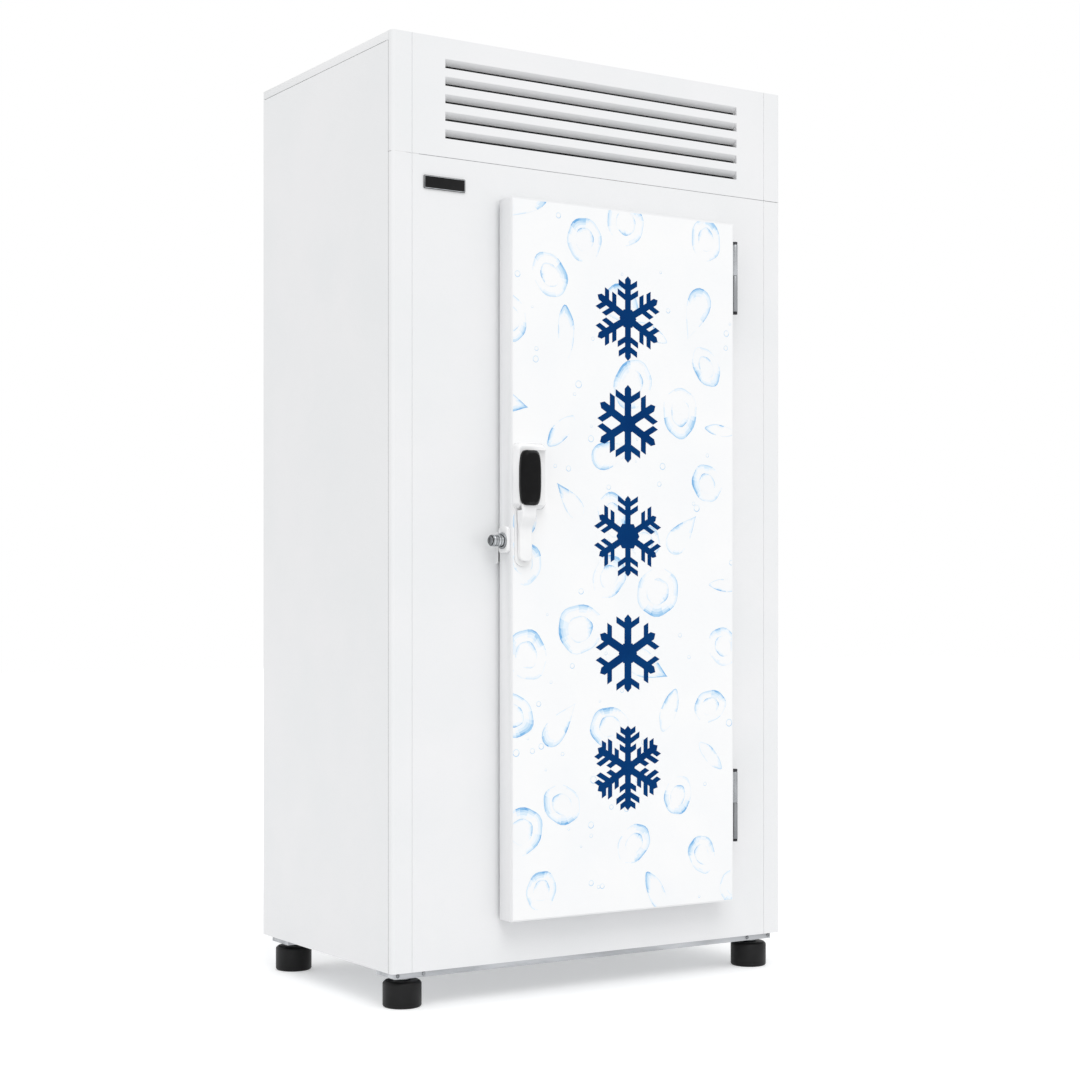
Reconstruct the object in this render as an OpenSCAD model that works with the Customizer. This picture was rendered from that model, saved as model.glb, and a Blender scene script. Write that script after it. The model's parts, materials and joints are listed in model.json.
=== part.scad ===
// Upright ice merchandiser freezer: one insulated door, refrigeration unit on top, four levelling feet.
// Width runs along X, depth along Y with the door at the low end, height along Z from the floor.

/* [Cabinet] */
// Width of the cabinet over its side panels
body_w = 1000; // [900:1:1300]
// Depth of the cabinet from the front panel to the back panel
body_d = 605; // [560:1:800]
// Height of the cabinet without its feet
body_h = 1900; // [1700:1:2100]
// Height of the refrigeration compartment behind the grille
unit_h = 244; // [230:1:320]
// Thickness of the painted sheet
skin = 1.2; // [0.8:0.1:2]
// Open seam between two painted panels
seam = 1; // [0.5:0.1:2]
// Thickness of the liner sheet
liner_t = 1.5; // [1:0.1:3]
// Thickness of the side, back and ceiling walls with their insulation
wall = 60; // [45:1:80]
// Thickness of the front wall with its insulation
front_wall = 50; // [40:1:70]
// Thickness of the floor with its insulation
floor_wall = 70; // [55:1:90]
// Visible width of a corner post on the front
post_w = 46; // [36:1:60]
// Visible width of a corner post on the side
post_return = 14; // [12:1:24]
// Outer radius of a corner post
corner_r = 8; // [4:0.5:11]
// Width of the joggled tongue of a post behind its neighbours
tongue = 12; // [8:1:16]
// Height of the rim of the top cover
top_lip = 18; // [12:1:30]

/* [Door] */
// Width of the door
door_w = 574; // [500:1:640]
// Height of the door
door_h = 1489; // [1300:1:1520]
// Sideways place of the door's middle
door_x = 36; // [-40:1:60]
// Thickness of the door slab
door_t = 47; // [40:1:60]
// Gap between the door slab and the front panel, filled by the gasket
door_gap = 8; // [6:0.5:12]
// Height of the door's lower edge above the cabinet's lower edge
door_rise = 92; // [80:1:130]
// Overlap of the door on the front wall on every side
door_lap = 28; // [24:1:40]
// Depth of the raised inner panel of the door inside the doorway
plug_d = 10; // [6:1:20]
// Clearance of the raised inner panel to the doorway
plug_clear = 9; // [7:1:16]
// Width of the gasket
gasket_w = 14; // [10:1:18]
// Distance of the gasket from the door's edge
gasket_inset = 12; // [11:1:14]
// Thickness of the doorway trim
trim_t = 3; // [2:0.5:4]
// Width of the trim's flange on the front panel
trim_flange_w = 13; // [10:1:14]
// Thickness of the trim's flange
trim_flange_t = 2; // [1:0.5:3]
// Bare rim left around the printed sheet
print_margin = 3; // [2:0.5:8]
// Thickness of the printed sheet
print_t = 0.4; // [0.3:0.1:1]

/* [Hinges] */
// Length of a hinge barrel
hinge_h = 160; // [120:1:200]
// Outer radius of a hinge barrel
hinge_r = 6.5; // [5:0.5:8]
// Radius of a hinge pin
hinge_pin_r = 3.5; // [2.5:0.5:4.5]
// Running clearance around a turning pin
run_clear = 0.05; // [0.02:0.01:0.1]
// Distance of the hinge axis from the door's edge
hinge_out = 11; // [9.5:0.5:16]
// Distance of the hinge axis from the front panel
hinge_stand = 47; // [42:1:60]
// Thickness of the hinge leaves
leaf_t = 3; // [2:0.5:4]
// Distance from the door's upper edge to the upper hinge
hinge_drop = 37; // [30:1:120]
// Distance from the door's lower edge to the lower hinge
hinge_lift = 129; // [30:1:160]
// Share of the barrel that belongs to the door
knuckle_share = 0.47; // [0.35:0.01:0.6]
// Gap between the two knuckles
knuckle_gap = 0.6; // [0.3:0.1:1.5]

/* [Latch] */
// Height of the middle of the grip above the cabinet's lower edge
grip_rise = 1003; // [850:1:1150]
// Length of the grip
grip_h = 113; // [90:1:140]
// Width of the grip
grip_w = 50; // [40:1:54]
// Distance of the lever's middle from the door's free edge
lever_in = 26; // [25:0.5:40]
// Front of the grip measured from the door's face
grip_stand = 42; // [40:1:54]
// Width of the lever's neck
lever_w = 30; // [28:1:42]
// Radius of the lever's pivot pin
lever_pin_r = 2.5; // [2:0.5:3]
// Height of the lever's pivot below the grip's middle
pivot_drop = 155; // [145:1:190]

/* [Lock] */
// Height of the lock above the cabinet's lower edge
lock_rise = 875; // [820:1:890]
// Distance of the lock's axis from the front panel
lock_stand = 33; // [31:1:36]
// Radius of the lock's barrel
lock_r = 12; // [10:0.5:14]
// Radius of the turning plug
plug_r = 5.5; // [4:0.5:6.5]
// Length of the hook from the lock's axis
hook_len = 44; // [43:1:48]
// Thickness of the hook
hook_t = 4; // [3:0.5:4.5]

/* [Feet] */
// Height from the floor to the cabinet's lower edge
leg_h = 76; // [70:1:110]
// Radius of a foot
foot_r = 40; // [25:0.5:40]
// Height of the black part of a foot
foot_h = 54; // [40:1:54]
// Radius of the bright collar above a foot
collar_r = 17; // [12:0.5:24]
// Radius of the threaded stem
stem_r = 6; // [5:0.5:8]
// Distance of the stems from the cabinet's sides
foot_in_x = 51; // [50:1:90]
// Distance of the stems from the cabinet's front and back
foot_in_y = 50; // [45:1:56]
// Height of the cross rails under the cabinet
rail_h = 14; // [12:1:16]
// Depth of the cross rails
rail_d = 80; // [60:1:100]
// Distance of the cross rails from the cabinet's edges
rail_in = 15; // [10:1:20]
// Thickness of the rail sheet
rail_t = 2; // [1.5:0.5:3]

/* [Grille] */
// Number of air slots
slot_n = 5; // [3:1:6]
// Height of an air slot
slot_h = 18.5; // [12:0.5:24]
// Distance from one slot to the next
slot_pitch = 35.9; // [30:0.1:38]
// Width of the air slots
slot_w = 752; // [500:1:760]
// Distance from the cabinet's top to the first slot
slot_drop = 43; // [36:1:60]
// Depth of the folded blades
blade_d = 13.5; // [12:0.5:18]
// Number of slots in each column on the back
back_slot_n = 7; // [4:1:8]

/* [Refrigeration] */
// Radius of the compressor shell
compressor_r = 82; // [65:1:86]
// Height of the compressor shell
compressor_h = 165; // [130:1:170]
// Width of the condenser
condenser_w = 420; // [300:1:440]
// Height of the condenser
condenser_h = 190; // [150:1:195]
// Depth of the condenser
condenser_d = 50; // [30:1:60]
// Number of condenser fins
condenser_fins = 36; // [20:1:40]
// Radius of the condenser fan
fan_r = 84; // [60:1:86]
// Number of fan blades
fan_blades = 5; // [3:1:7]
// Width of the evaporator housing
evap_w = 640; // [560:1:700]
// Height of the evaporator housing
evap_h = 170; // [165:1:200]
// Depth of the evaporator housing
evap_d = 230; // [220:1:260]
// Number of evaporator fins
evap_fins = 30; // [16:1:36]
// Radius of the evaporator fans
evap_fan_r = 62; // [45:1:64]

/* [Floor rack] */
// Number of slats of the floor rack
slat_n = 11; // [7:1:12]
// Width of a slat
slat_w = 48; // [40:1:52]
// Height of a slat
slat_h = 14; // [10:1:20]

/* [Hidden] */

$fn = 48;
touch = 0.3; // gap left between curved or soft neighbours
past = 1; // how far a cutting shape runs past the face it cuts

// The model's origin is the middle of the whole footprint, with the grip as the foremost point.
face_y = -(body_d - door_gap - door_t - grip_stand) / 2; // front panel's outer face
back_y = face_y + body_d;
half_w = body_w / 2;
low_z = leg_h;
top_z = leg_h + body_h;
deck_z = top_z - unit_h; // top of the machine deck and the seam under the grille
deck_t = 1.5;

// Doorway and door, seen from the front
door_front = door_gap + door_t;
door_lo = [door_x - door_w / 2, low_z + door_rise];
door_hi = door_lo + [door_w, door_h];
way_lo = door_lo + [door_lap, door_lap];
way_hi = door_hi - [door_lap, door_lap];

// Ice compartment
room_lo = [-half_w + wall, face_y + front_wall, low_z + floor_wall];
room_hi = [half_w - wall, back_y - wall, deck_z - deck_t - wall];

// Hinge axis and hinge places
hinge_x = door_hi[0] + hinge_out;
hinge_y = face_y - hinge_stand;
hinge_zs = [door_lo[1] + hinge_lift, door_hi[1] - hinge_drop - hinge_h];
hinge_cap = 6;
knuckle_z = hinge_h * (1 - knuckle_share);

// Latch and lock
grip_z = low_z + grip_rise;
lever_x = door_lo[0] + lever_in;
pivot_z = grip_z - pivot_drop;
base_wide = [77, 136];
base_low = grip_z - 63; // lower edge of the plate's wide part
base_tail = [40, 138];
tail_low = grip_z - 181;
base_x = door_lo[0] + 2;
tail_x = lever_x - base_tail[0] / 2;
base_plate_t = 5;
grip_back = grip_stand - 12; // where the grip starts over the door's face
arm_t = 6; // thickness of the lever under the grip
lever_sheet = 2.5;
lever_wall = 3;
lever_head = pivot_drop + grip_h / 2 - 8; // lever's upper end above the pivot
boss_r = lever_pin_r + 2;
boss_half = lever_w / 2 - lever_wall - 0.5;
pivot_stand = 9; // pivot's distance from the door's face
lever_face = pivot_stand + boss_r + 0.5; // inner face of the lever's lower end over the door's face
pivot_y = face_y - door_front - pivot_stand;
lock_z = low_z + lock_rise;
lock_y = face_y - lock_stand;
lock_x = door_lo[0]; // the door's free edge
hub_gap = 0.3;
hook_w = 14;
hub_r = 9;
neck_r = 8.2;
housing_t = 8;
housing_y = [lock_stand - 17, lock_stand + 17];
housing_z = [-25, 29];
flange_t = 4;
barrel_l = 24;
head_t = 3;
hook_x = lock_x + skin + hub_gap;
barb = 8;
pocket_clear = 3;
pocket_in = hub_gap + hook_t + 2.4; // depth of the hook's pocket behind the door's edge
hook_reach = sqrt(pow(hook_len, 2) + pow(hook_w / 2 + barb, 2));

// Feet
foot_xs = [-half_w + foot_in_x, half_w - foot_in_x];
foot_ys = [face_y + foot_in_y, back_y - foot_in_y];
foot_socket = 20; // depth of the stem's socket in a foot

// Air slots
slot_zs = [for (i = [0 : slot_n - 1]) top_z - slot_drop - i * slot_pitch - slot_h];

// Evaporator, hung under the ceiling at the back
evap_gap = 30;
evap_y1 = room_hi[1] - evap_gap;
evap_y0 = evap_y1 - evap_d;
evap_fan_z = room_hi[2] - evap_h / 2;
evap_fan_xs = [-evap_w / 4, evap_w / 4];
evap_sheet = 1.2;
evap_coil_in = 40; // distance of the coil from the housing's sides
evap_fan_y = evap_y0 + 14;
shaft_r = 4;

// Lamp under the ceiling behind the doorway's upper edge
light_size = [300, 60, 12];
light_at = [door_x - light_size[0] / 2, room_lo[1] + 25, room_hi[2] - light_size[2]];

// Drain, refrigerant lines and power inlet
drain_r = 8;
drain_hole_r = drain_r + touch;
drain_z = room_hi[2] - evap_h - 20;
line_x = evap_w / 2 - 20;
line_ys = [evap_y1 - 85, evap_y1 - 115];
line_rs = [6, 4];
gland_x = half_w - 60;
gland_z = deck_z + 70;
gland_r = 22;
gland_d = 26;
back_in = 3; // how far the back sheet sits inside the edges of its neighbours

// Pocket behind the front panel that the lock's hook turns into
keeper_t = 1.5;
keeper_d = hook_reach - lock_stand + pocket_clear + keeper_t;
keeper_lo = [hook_x - keeper_t, lock_z - hook_len + pocket_clear];
keeper_hi = [hook_x + hook_t + keeper_t, lock_z + hook_w / 2 + barb + pocket_clear];

// Name plate, bare
plate_lo = [-half_w + 73, deck_z - 68];
plate_size = [97, 27];
plate_t = 3;

// Refrigeration unit on the deck
condenser_x = -half_w + 120 + condenser_w / 2;
condenser_y = face_y + 52;
shroud_d = 32;
fan_y = condenser_y + condenser_d + 18;
condenser_lift = 8;
fan_z = deck_z + condenser_lift + condenser_h / 2;
compressor_foot = compressor_r + 8; // half of the foot plate's width, and the reach of the pipe stubs
compressor_at = [line_x - compressor_foot - 10, line_ys[0]];
compressor_z = deck_z + 15;
condenser_end = condenser_x + condenser_w / 2;
header_y = condenser_y + condenser_d / 2;
drier_x = condenser_end + 30;
drier_w = 100;
drier_z = deck_z + 30;
line_z = deck_z + 90;
box_lo = [half_w - 160, face_y + 60, deck_z];
box_size = [110, 170, 150];

// A block between two corners.
module block(lo, hi) {
    translate(lo) cube(hi - lo);
}

// A plate standing across Y between two depths, with its corners given as X and Z.
module panel(lo, hi, y0, y1) {
    block([lo[0], y0, lo[1]], [hi[0], y1, hi[1]]);
}

// A rectangular ring standing across Y: outer corners moved in by w.
module ring(lo, hi, w, y0, y1) {
    difference() {
        panel(lo, hi, y0, y1);
        panel(lo + [w, w], hi - [w, w], y0 - past, y1 + past);
    }
}

// A cylinder along X from x0 to x1.
module bar_x(x0, x1, y, z, r) {
    translate([x0, y, z]) rotate([0, 90, 0]) cylinder(h = x1 - x0, r = r);
}

// A cylinder along Y from y0 to y1.
module bar_y(x, y0, y1, z, r) {
    translate([x, y0, z]) rotate([-90, 0, 0]) cylinder(h = y1 - y0, r = r);
}

// A cylinder along Z from z0 to z1.
module bar_z(x, y, z0, z1, r) {
    translate([x, y, z0]) cylinder(h = z1 - z0, r = r);
}

// A pipe through a list of points: straight runs with round joints.
module pipe(points, r) {
    for (i = [0 : len(points) - 2]) {
        run = points[i + 1] - points[i];
        turn = [0, acos(run[2] / norm(run)), atan2(run[1], run[0])];
        translate(points[i]) rotate(turn) cylinder(h = norm(run), r = r);
    }
    for (i = [1 : len(points) - 2]) {
        translate(points[i]) sphere(r = r);
    }
}

// Mirrors what follows to the right-hand side where side is 1.
module handed(side) {
    mirror([side > 0 ? 1 : 0, 0, 0]) children();
}

// ---- Cabinet ----

// One painted side, from behind the corner post to the back.
module side_panel(side) {
    y = face_y + post_return + seam;
    color("white") handed(side)
        block([-half_w, y, low_z], [-half_w + skin, back_y, top_z - top_lip - seam]);
}

// Back sheet of the insulated cabinet, between the sides, with the drain's hole.
module back_panel() {
    y = back_y - back_in;
    color("gainsboro") difference() {
        block([-half_w + skin, y - skin, low_z], [half_w - skin, y, deck_z - seam / 2]);
        bar_y(0, y - skin - past, back_y, drain_z, drain_hole_r);
    }
}

// Removable sheet behind the refrigeration unit: two columns of air slots and the hole of the lead's inlet.
module rear_cover() {
    column_w = 300;
    pitch = 22;
    slot = 8;
    y = back_y - back_in;
    color("gainsboro") difference() {
        block([-half_w + skin, y - skin, deck_z + seam / 2], [half_w - skin, y, top_z - skin]);
        for (x = [-1, 1], i = [0 : back_slot_n - 1]) {
            z = deck_z + 40 + i * pitch;
            panel([x * half_w / 2 - column_w / 2, z], [x * half_w / 2 + column_w / 2, z + slot],
                y - skin - past, back_y);
        }
        bar_y(gland_x, y - skin - past, back_y, gland_z, gland_r + touch);
    }
}

// Shallow top tray whose rims finish the sides.
module top_cover() {
    y0 = face_y + post_return + seam;
    color("white") difference() {
        block([-half_w, y0, top_z - top_lip], [half_w, back_y, top_z]);
        block([-half_w + skin, y0 - past, top_z - top_lip - past],
            [half_w - skin, back_y + past, top_z - skin]);
    }
}

// What fills the cabinet's outline inside its sheets and posts between two heights.
module filling(z0, z1) {
    difference() {
        block([-half_w + skin, face_y + skin, z0], [half_w - skin, back_y - back_in - skin, z1]);
        for (side = [-1, 1]) handed(side)
            block([-half_w, face_y, z0 - past],
                [-half_w + post_w + tongue, face_y + post_return + tongue, z1 + past]);
    }
}

// Closed sheet under the floor's insulation.
module bottom_pan() {
    color("silver") filling(low_z, low_z + skin);
}

// Profile of the left corner post: rounded outer corner and a tongue behind each neighbour.
module post_profile() {
    translate([corner_r, 0]) square([post_w - corner_r, skin]);
    translate([0, corner_r]) square([skin, post_return - corner_r]);
    translate([corner_r, corner_r]) intersection() {
        difference() {
            circle(r = corner_r);
            circle(r = corner_r - skin);
        }
        translate([-corner_r, -corner_r]) square([corner_r, corner_r]);
    }
    translate([post_w - tongue, skin]) square([2 * tongue, skin]);
    translate([skin, post_return - skin]) square([skin, tongue + skin]);
}

// A length of corner post.
module post(side, z0, z1) {
    color("white") handed(side)
        translate([-half_w, face_y, z0]) linear_extrude(height = z1 - z0) post_profile();
}

module corner_post(side) {
    post(side, low_z, deck_z - seam / 2);
}

// Upper lengths of both posts beside the grille, each closed by a cap.
// Their tongues stop under the grille's flange and under the top cover.
module upper_posts() {
    cut = 2 * tongue;
    for (side = [-1, 1]) {
        color("white") union() {
            difference() {
                post(side, deck_z + seam / 2, top_z);
                handed(side) block([-half_w + post_w, face_y + skin, top_z - skin],
                    [-half_w + post_w + cut, face_y + post_return, top_z + past]);
                handed(side) block([-half_w, face_y + post_return, top_z - skin],
                    [-half_w + post_w, face_y + post_return + cut, top_z + past]);
            }
            handed(side) block([-half_w + corner_r, face_y + skin, top_z - skin],
                [-half_w + post_w, face_y + post_return, top_z]);
        }
    }
}

// Painted front sheet with the doorway and the slot for the lock's hook.
module front_panel() {
    lo = [-half_w + post_w + seam, low_z];
    hi = [half_w - post_w - seam, deck_z - seam / 2];
    color("white") difference() {
        panel(lo, hi, face_y, face_y + skin);
        panel(way_lo - [trim_t, trim_t], way_hi + [trim_t, trim_t], face_y - past, face_y + skin + past);
        panel(keeper_lo, keeper_hi - [0, barb], face_y - past, face_y + skin + past);
    }
}

// Front sheet over the refrigeration unit: slots with blades folded in and down, closed at their ends.
module grille_panel() {
    lo = [-half_w + post_w + seam, deck_z + seam / 2];
    hi = [half_w - post_w - seam, top_z];
    back = face_y + skin;
    color("white") union() {
        difference() {
            panel(lo, hi, face_y, back);
            for (z = slot_zs) panel([-slot_w / 2, z], [slot_w / 2, z + slot_h], face_y - past, back + past);
        }
        block([lo[0], back, top_z - skin], [hi[0], face_y + post_return, top_z]);
        for (z = slot_zs) louvre(z + slot_h);
    }
}

// One folded blade under the slot's upper edge at height z, with its triangular ends.
module louvre(z) {
    blade = [[0, 0], [blade_d, -blade_d], [blade_d, skin * 1.4 - blade_d], [skin * 1.4, 0]];
    end = [[0, 0], [blade_d, -blade_d], [skin, -slot_h], [0, -slot_h]];
    translate([-slot_w / 2, face_y, z]) rotate([90, 0, 90]) linear_extrude(height = slot_w) polygon(blade);
    for (x = [-slot_w / 2 - skin, slot_w / 2]) {
        translate([x, face_y + skin, z]) rotate([90, 0, 90]) linear_extrude(height = skin) polygon(end);
    }
}

// Inner box of the ice compartment, open at the doorway.
module inner_liner() {
    t = [liner_t, liner_t, liner_t];
    color("whitesmoke") difference() {
        block(room_lo - t, room_hi + t);
        block(room_lo, room_hi);
        panel(way_lo - [trim_t, trim_t], way_hi + [trim_t, trim_t],
            room_lo[1] - liner_t - past, room_lo[1] + past);
        services();
    }
}

// Foam between the painted sheets and the liner.
module cabinet_insulation() {
    t = [liner_t, liner_t, liner_t];
    color("khaki") difference() {
        filling(low_z + skin, deck_z - deck_t);
        block(room_lo - t, room_hi + t);
        panel(way_lo - [trim_t, trim_t], way_hi + [trim_t, trim_t], face_y, room_lo[1]);
        panel(keeper_lo - [keeper_t, keeper_t], keeper_hi + [keeper_t, keeper_t], face_y, face_y + keeper_d);
        services();
    }
}

// Plastic lining of the doorway with a flange on the front panel.
module doorway_trim() {
    out = [trim_t, trim_t];
    color("white") union() {
        ring(way_lo - out, way_hi + out, trim_t, face_y - trim_flange_t, room_lo[1]);
        ring(way_lo - out * (1 + trim_flange_w / trim_t), way_hi + out * (1 + trim_flange_w / trim_t),
            trim_t + trim_flange_w, face_y - trim_flange_t, face_y);
    }
}

// Steel pocket behind the front panel for the lock's hook.
module lock_keeper() {
    rim = [keeper_t, keeper_t];
    color("silver") difference() {
        panel(keeper_lo - rim, keeper_hi + rim, face_y + skin, face_y + keeper_d);
        panel(keeper_lo, keeper_hi, face_y, face_y + keeper_d - keeper_t);
    }
}

// Holes through the insulation: the drain at the back and the refrigerant lines in the ceiling.
module services() {
    bar_y(0, room_hi[1] - past, back_y, drain_z, drain_hole_r);
    for (i = [0 : len(line_ys) - 1]) {
        bar_z(line_x, line_ys[i], room_hi[2] - past, deck_z + past, line_rs[i] + touch);
    }
}

// Two inverted channels across the cabinet's underside, with a threaded bush for each stem.
module cross_rails() {
    x = half_w - rail_in;
    bush_r = 14;
    for (y = [face_y + rail_in, back_y - rail_in - rail_d]) {
        color("silver") difference() {
            block([-x, y, low_z - rail_h], [x, y + rail_d, low_z]);
            block([-x + rail_t, y + rail_t, low_z - rail_h - past],
                [x - rail_t, y + rail_d - rail_t, low_z - rail_t]);
        }
    }
    for (x = foot_xs, y = foot_ys) {
        color("silver") difference() {
            bar_z(x, y, low_z - rail_h, low_z - rail_t, bush_r);
            bar_z(x, y, low_z - rail_h - past, low_z - rail_t + past, stem_r + run_clear);
        }
    }
}

// A pan-head screw at a point, its head facing along -Y or +Y.
module screw(at, way) {
    head_r = 4.5;
    head_h = 1.8;
    socket = [5.5, 1.2];
    translate(at) rotate([way * 90, 0, 0]) difference() {
        cylinder(h = head_h, r1 = head_r, r2 = head_r - 1);
        for (turn = [0, 90]) rotate(turn)
            translate([-socket[0] / 2, -socket[1] / 2, head_h - 1]) cube([socket[0], socket[1], 2]);
    }
}

// Screws of the front rail, the back sheet and the rear cover.
module screws() {
    rail_z = low_z - rail_h / 2;
    color("silver") {
        for (side = [-1, 1], in = [22, 82]) screw([side * (half_w - in), face_y + rail_in, rail_z], 1);
        for (x = [-1, 0, 1], z = [low_z + 30, low_z + body_h / 2, top_z - 30]) {
            screw([x * (half_w - 25), back_y - back_in, z], -1);
        }
    }
}

// Bare black plate with rounded corners.
module name_plate() {
    color("black") translate([plate_lo[0], face_y, plate_lo[1]]) rotate([90, 0, 0])
        linear_extrude(height = plate_t) rounded(plate_size, 2);
}

// Rounded rectangle of a size and a corner radius.
module rounded(size, r) {
    translate([r, 0]) square([size[0] - 2 * r, size[1]]);
    translate([0, r]) square([size[0], size[1] - 2 * r]);
    for (x = [r, size[0] - r], y = [r, size[1] - r]) translate([x, y]) circle(r = r);
}

// Slatted rack that keeps the bags off the floor of the compartment.
module floor_rack() {
    edge = 12;
    bearer = [30, 12];
    run = room_hi[0] - room_lo[0] - 2 * edge;
    pitch = (run - slat_w) / (slat_n - 1);
    slat_y = [room_lo[1] + edge, room_hi[1] - edge];
    slat_z = room_lo[2] + bearer[1];
    color("white") union() {
        for (i = [0 : slat_n - 1]) {
            x = room_lo[0] + edge + i * pitch;
            block([x, slat_y[0], slat_z], [x + slat_w, slat_y[1], slat_z + slat_h]);
        }
        for (share = [0.1, 0.5, 0.9]) {
            y = slat_y[0] + share * (slat_y[1] - slat_y[0]) - bearer[0] / 2;
            block([room_lo[0] + edge, y, room_lo[2]], [room_hi[0] - edge, y + bearer[0], slat_z]);
        }
    }
}

// Base plate of the lamp.
module light_base() {
    color("silver") block(light_at, light_at + light_size);
}

module light_lens() {
    rim = 5;
    lens_h = 14;
    color("azure") translate([light_at[0] + rim, light_at[1] + rim, light_at[2] - lens_h])
        cube([light_size[0] - 2 * rim, light_size[1] - 2 * rim, lens_h]);
}

// ---- Refrigeration ----

// Sheet housing of the evaporator: two fan holes in front, open at the back and against the ceiling.
module evaporator_housing() {
    z0 = room_hi[2] - evap_h;
    hole_r = evap_fan_r + 4;
    color("gainsboro") difference() {
        block([-evap_w / 2, evap_y0, z0], [evap_w / 2, evap_y1, room_hi[2]]);
        block([-evap_w / 2 + evap_sheet, evap_y0 + evap_sheet, z0 + evap_sheet],
            [evap_w / 2 - evap_sheet, evap_y1 + past, room_hi[2] + past]);
        for (x = evap_fan_xs) bar_y(x, evap_y0 - past, evap_y0 + evap_sheet + past, evap_fan_z, hole_r);
    }
}

// Fins on straight tubes between two end plates.
module finned_coil(lo, hi, fins, rows, foot, head) {
    fin_t = 0.8;
    plate = 2;
    tube_r = 5;
    pitch = (hi[0] - lo[0] - plate) / (fins + 1);
    union() {
        for (i = [1 : fins]) {
            x = lo[0] + i * pitch;
            block([x, lo[1], lo[2]], [x + fin_t, hi[1], hi[2]]);
        }
        for (x = [lo[0], hi[0] - plate]) block([x, lo[1], foot], [x + plate, hi[1], head]);
        for (y = [0.3, 0.7], i = [1 : rows]) {
            bar_x(lo[0] + plate / 2, hi[0] - plate / 2, lo[1] + y * (hi[1] - lo[1]),
                lo[2] + (i - 0.5) * (hi[2] - lo[2]) / rows, tube_r);
        }
    }
}

module evaporator_coil() {
    x = evap_w / 2 - evap_coil_in;
    z0 = room_hi[2] - evap_h;
    color("lightsteelblue") finned_coil([-x, evap_y0 + 95, z0 + 12], [x, evap_y1 - 15, room_hi[2] - 10],
        evap_fins, 4, z0 + evap_sheet, room_hi[2]);
}

// A fan along Y: hub with a bore for the shaft and pitched blades.
module fan(x, y, z, r, hub_r, shaft) {
    hub_h = 18;
    blade_t = 2;
    pitch = 28;
    chord = r * 0.42;
    root = hub_r * 0.7;
    tip = sqrt(r * r - chord * chord / 4); // the blade's corners stay inside the fan's radius
    difference() {
        union() {
            bar_y(x, y - hub_h / 2, y + hub_h / 2, z, hub_r);
            for (i = [0 : fan_blades - 1]) {
                translate([x, y, z]) rotate([0, i * 360 / fan_blades, 0]) rotate([0, 0, pitch])
                    translate([-chord / 2, -blade_t / 2, root]) cube([chord, blade_t, tip - root]);
            }
        }
        bar_y(x, y - hub_h, y + hub_h, z, shaft + run_clear);
    }
}

// Evaporator fan motors, each on a strap across the inside of the housing.
module evaporator_fan_motors() {
    motor = [24, 45];
    strap = [8, 3];
    y = evap_fan_y + 14;
    color("dimgray") for (x = evap_fan_xs) {
        union() {
            bar_y(x, y, y + motor[1], evap_fan_z, motor[0]);
            bar_y(x, evap_fan_y - 12, y + past, evap_fan_z, shaft_r);
            block([x - strap[0] / 2, y + 10, room_hi[2] - evap_h + evap_sheet],
                [x + strap[0] / 2, y + 10 + strap[1], room_hi[2]]);
        }
    }
}

module evaporator_fan(side) {
    color("dimgray") fan(side * evap_w / 4, evap_fan_y, evap_fan_z, evap_fan_r, 16, shaft_r);
}

// Drain from the evaporator's floor through the back wall.
module drain_pipe() {
    y = evap_y1 - 40;
    pipe_t = 1.5;
    z = [room_hi[2] - evap_h, drain_z];
    end = back_y - back_in;
    color("gray") difference() {
        pipe([[0, y, z[0]], [0, y, z[1]], [0, end, z[1]]], drain_r);
        pipe([[0, y, z[0] + past], [0, y, z[1]], [0, end + past, z[1]]], drain_r - pipe_t);
    }
}

// Steel deck over the insulated ceiling.
module machine_deck() {
    color("silver") difference() {
        filling(deck_z - deck_t, deck_z);
        services();
    }
}

// Welded compressor shell with its foot plate, mounts and pipe stubs.
module compressor() {
    x = compressor_at[0];
    y = compressor_at[1];
    bend = 28;
    foot = compressor_foot;
    mount_r = 11;
    stub_r = 9;
    color("black") union() {
        translate([x, y, compressor_z]) rotate_extrude() {
            square([compressor_r - bend, compressor_h]);
            translate([0, bend]) square([compressor_r, compressor_h - 2 * bend]);
            for (z = [bend, compressor_h - bend]) translate([compressor_r - bend, z]) intersection() {
                circle(r = bend);
                translate([0, -bend]) square([bend, 2 * bend]);
            }
        }
        bar_z(x, y, compressor_z + compressor_h / 2, compressor_z + compressor_h / 2 + 4, compressor_r + 3);
        block([x - foot, y - foot, compressor_z - 3], [x + foot, y + foot, compressor_z]);
        for (dx = [-1, 1], dy = [-1, 1]) {
            bar_z(x + dx * (foot - mount_r), y + dy * (foot - mount_r), deck_z, compressor_z - 1, mount_r);
        }
        bar_x(x - foot, x + foot, y, line_z, stub_r);
    }
}

module condenser_coil() {
    z0 = deck_z + condenser_lift;
    z1 = z0 + condenser_h;
    color("darkgray") finned_coil([condenser_x - condenser_w / 2, condenser_y, z0],
        [condenser_end, condenser_y + condenser_d, z1], condenser_fins, 6, deck_z, z1);
}

// Sheet behind the condenser with a collar around the fan.
module condenser_shroud() {
    sheet = 1.5;
    y = condenser_y + condenser_d;
    collar = fan_r + 4;
    color("gainsboro") difference() {
        union() {
            block([condenser_x - condenser_w / 2, y, deck_z],
                [condenser_end, y + sheet, fan_z + condenser_h / 2]);
            bar_y(condenser_x, y, y + shroud_d, fan_z, collar + sheet);
        }
        bar_y(condenser_x, y - past, y + shroud_d + past, fan_z, collar);
    }
}

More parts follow.
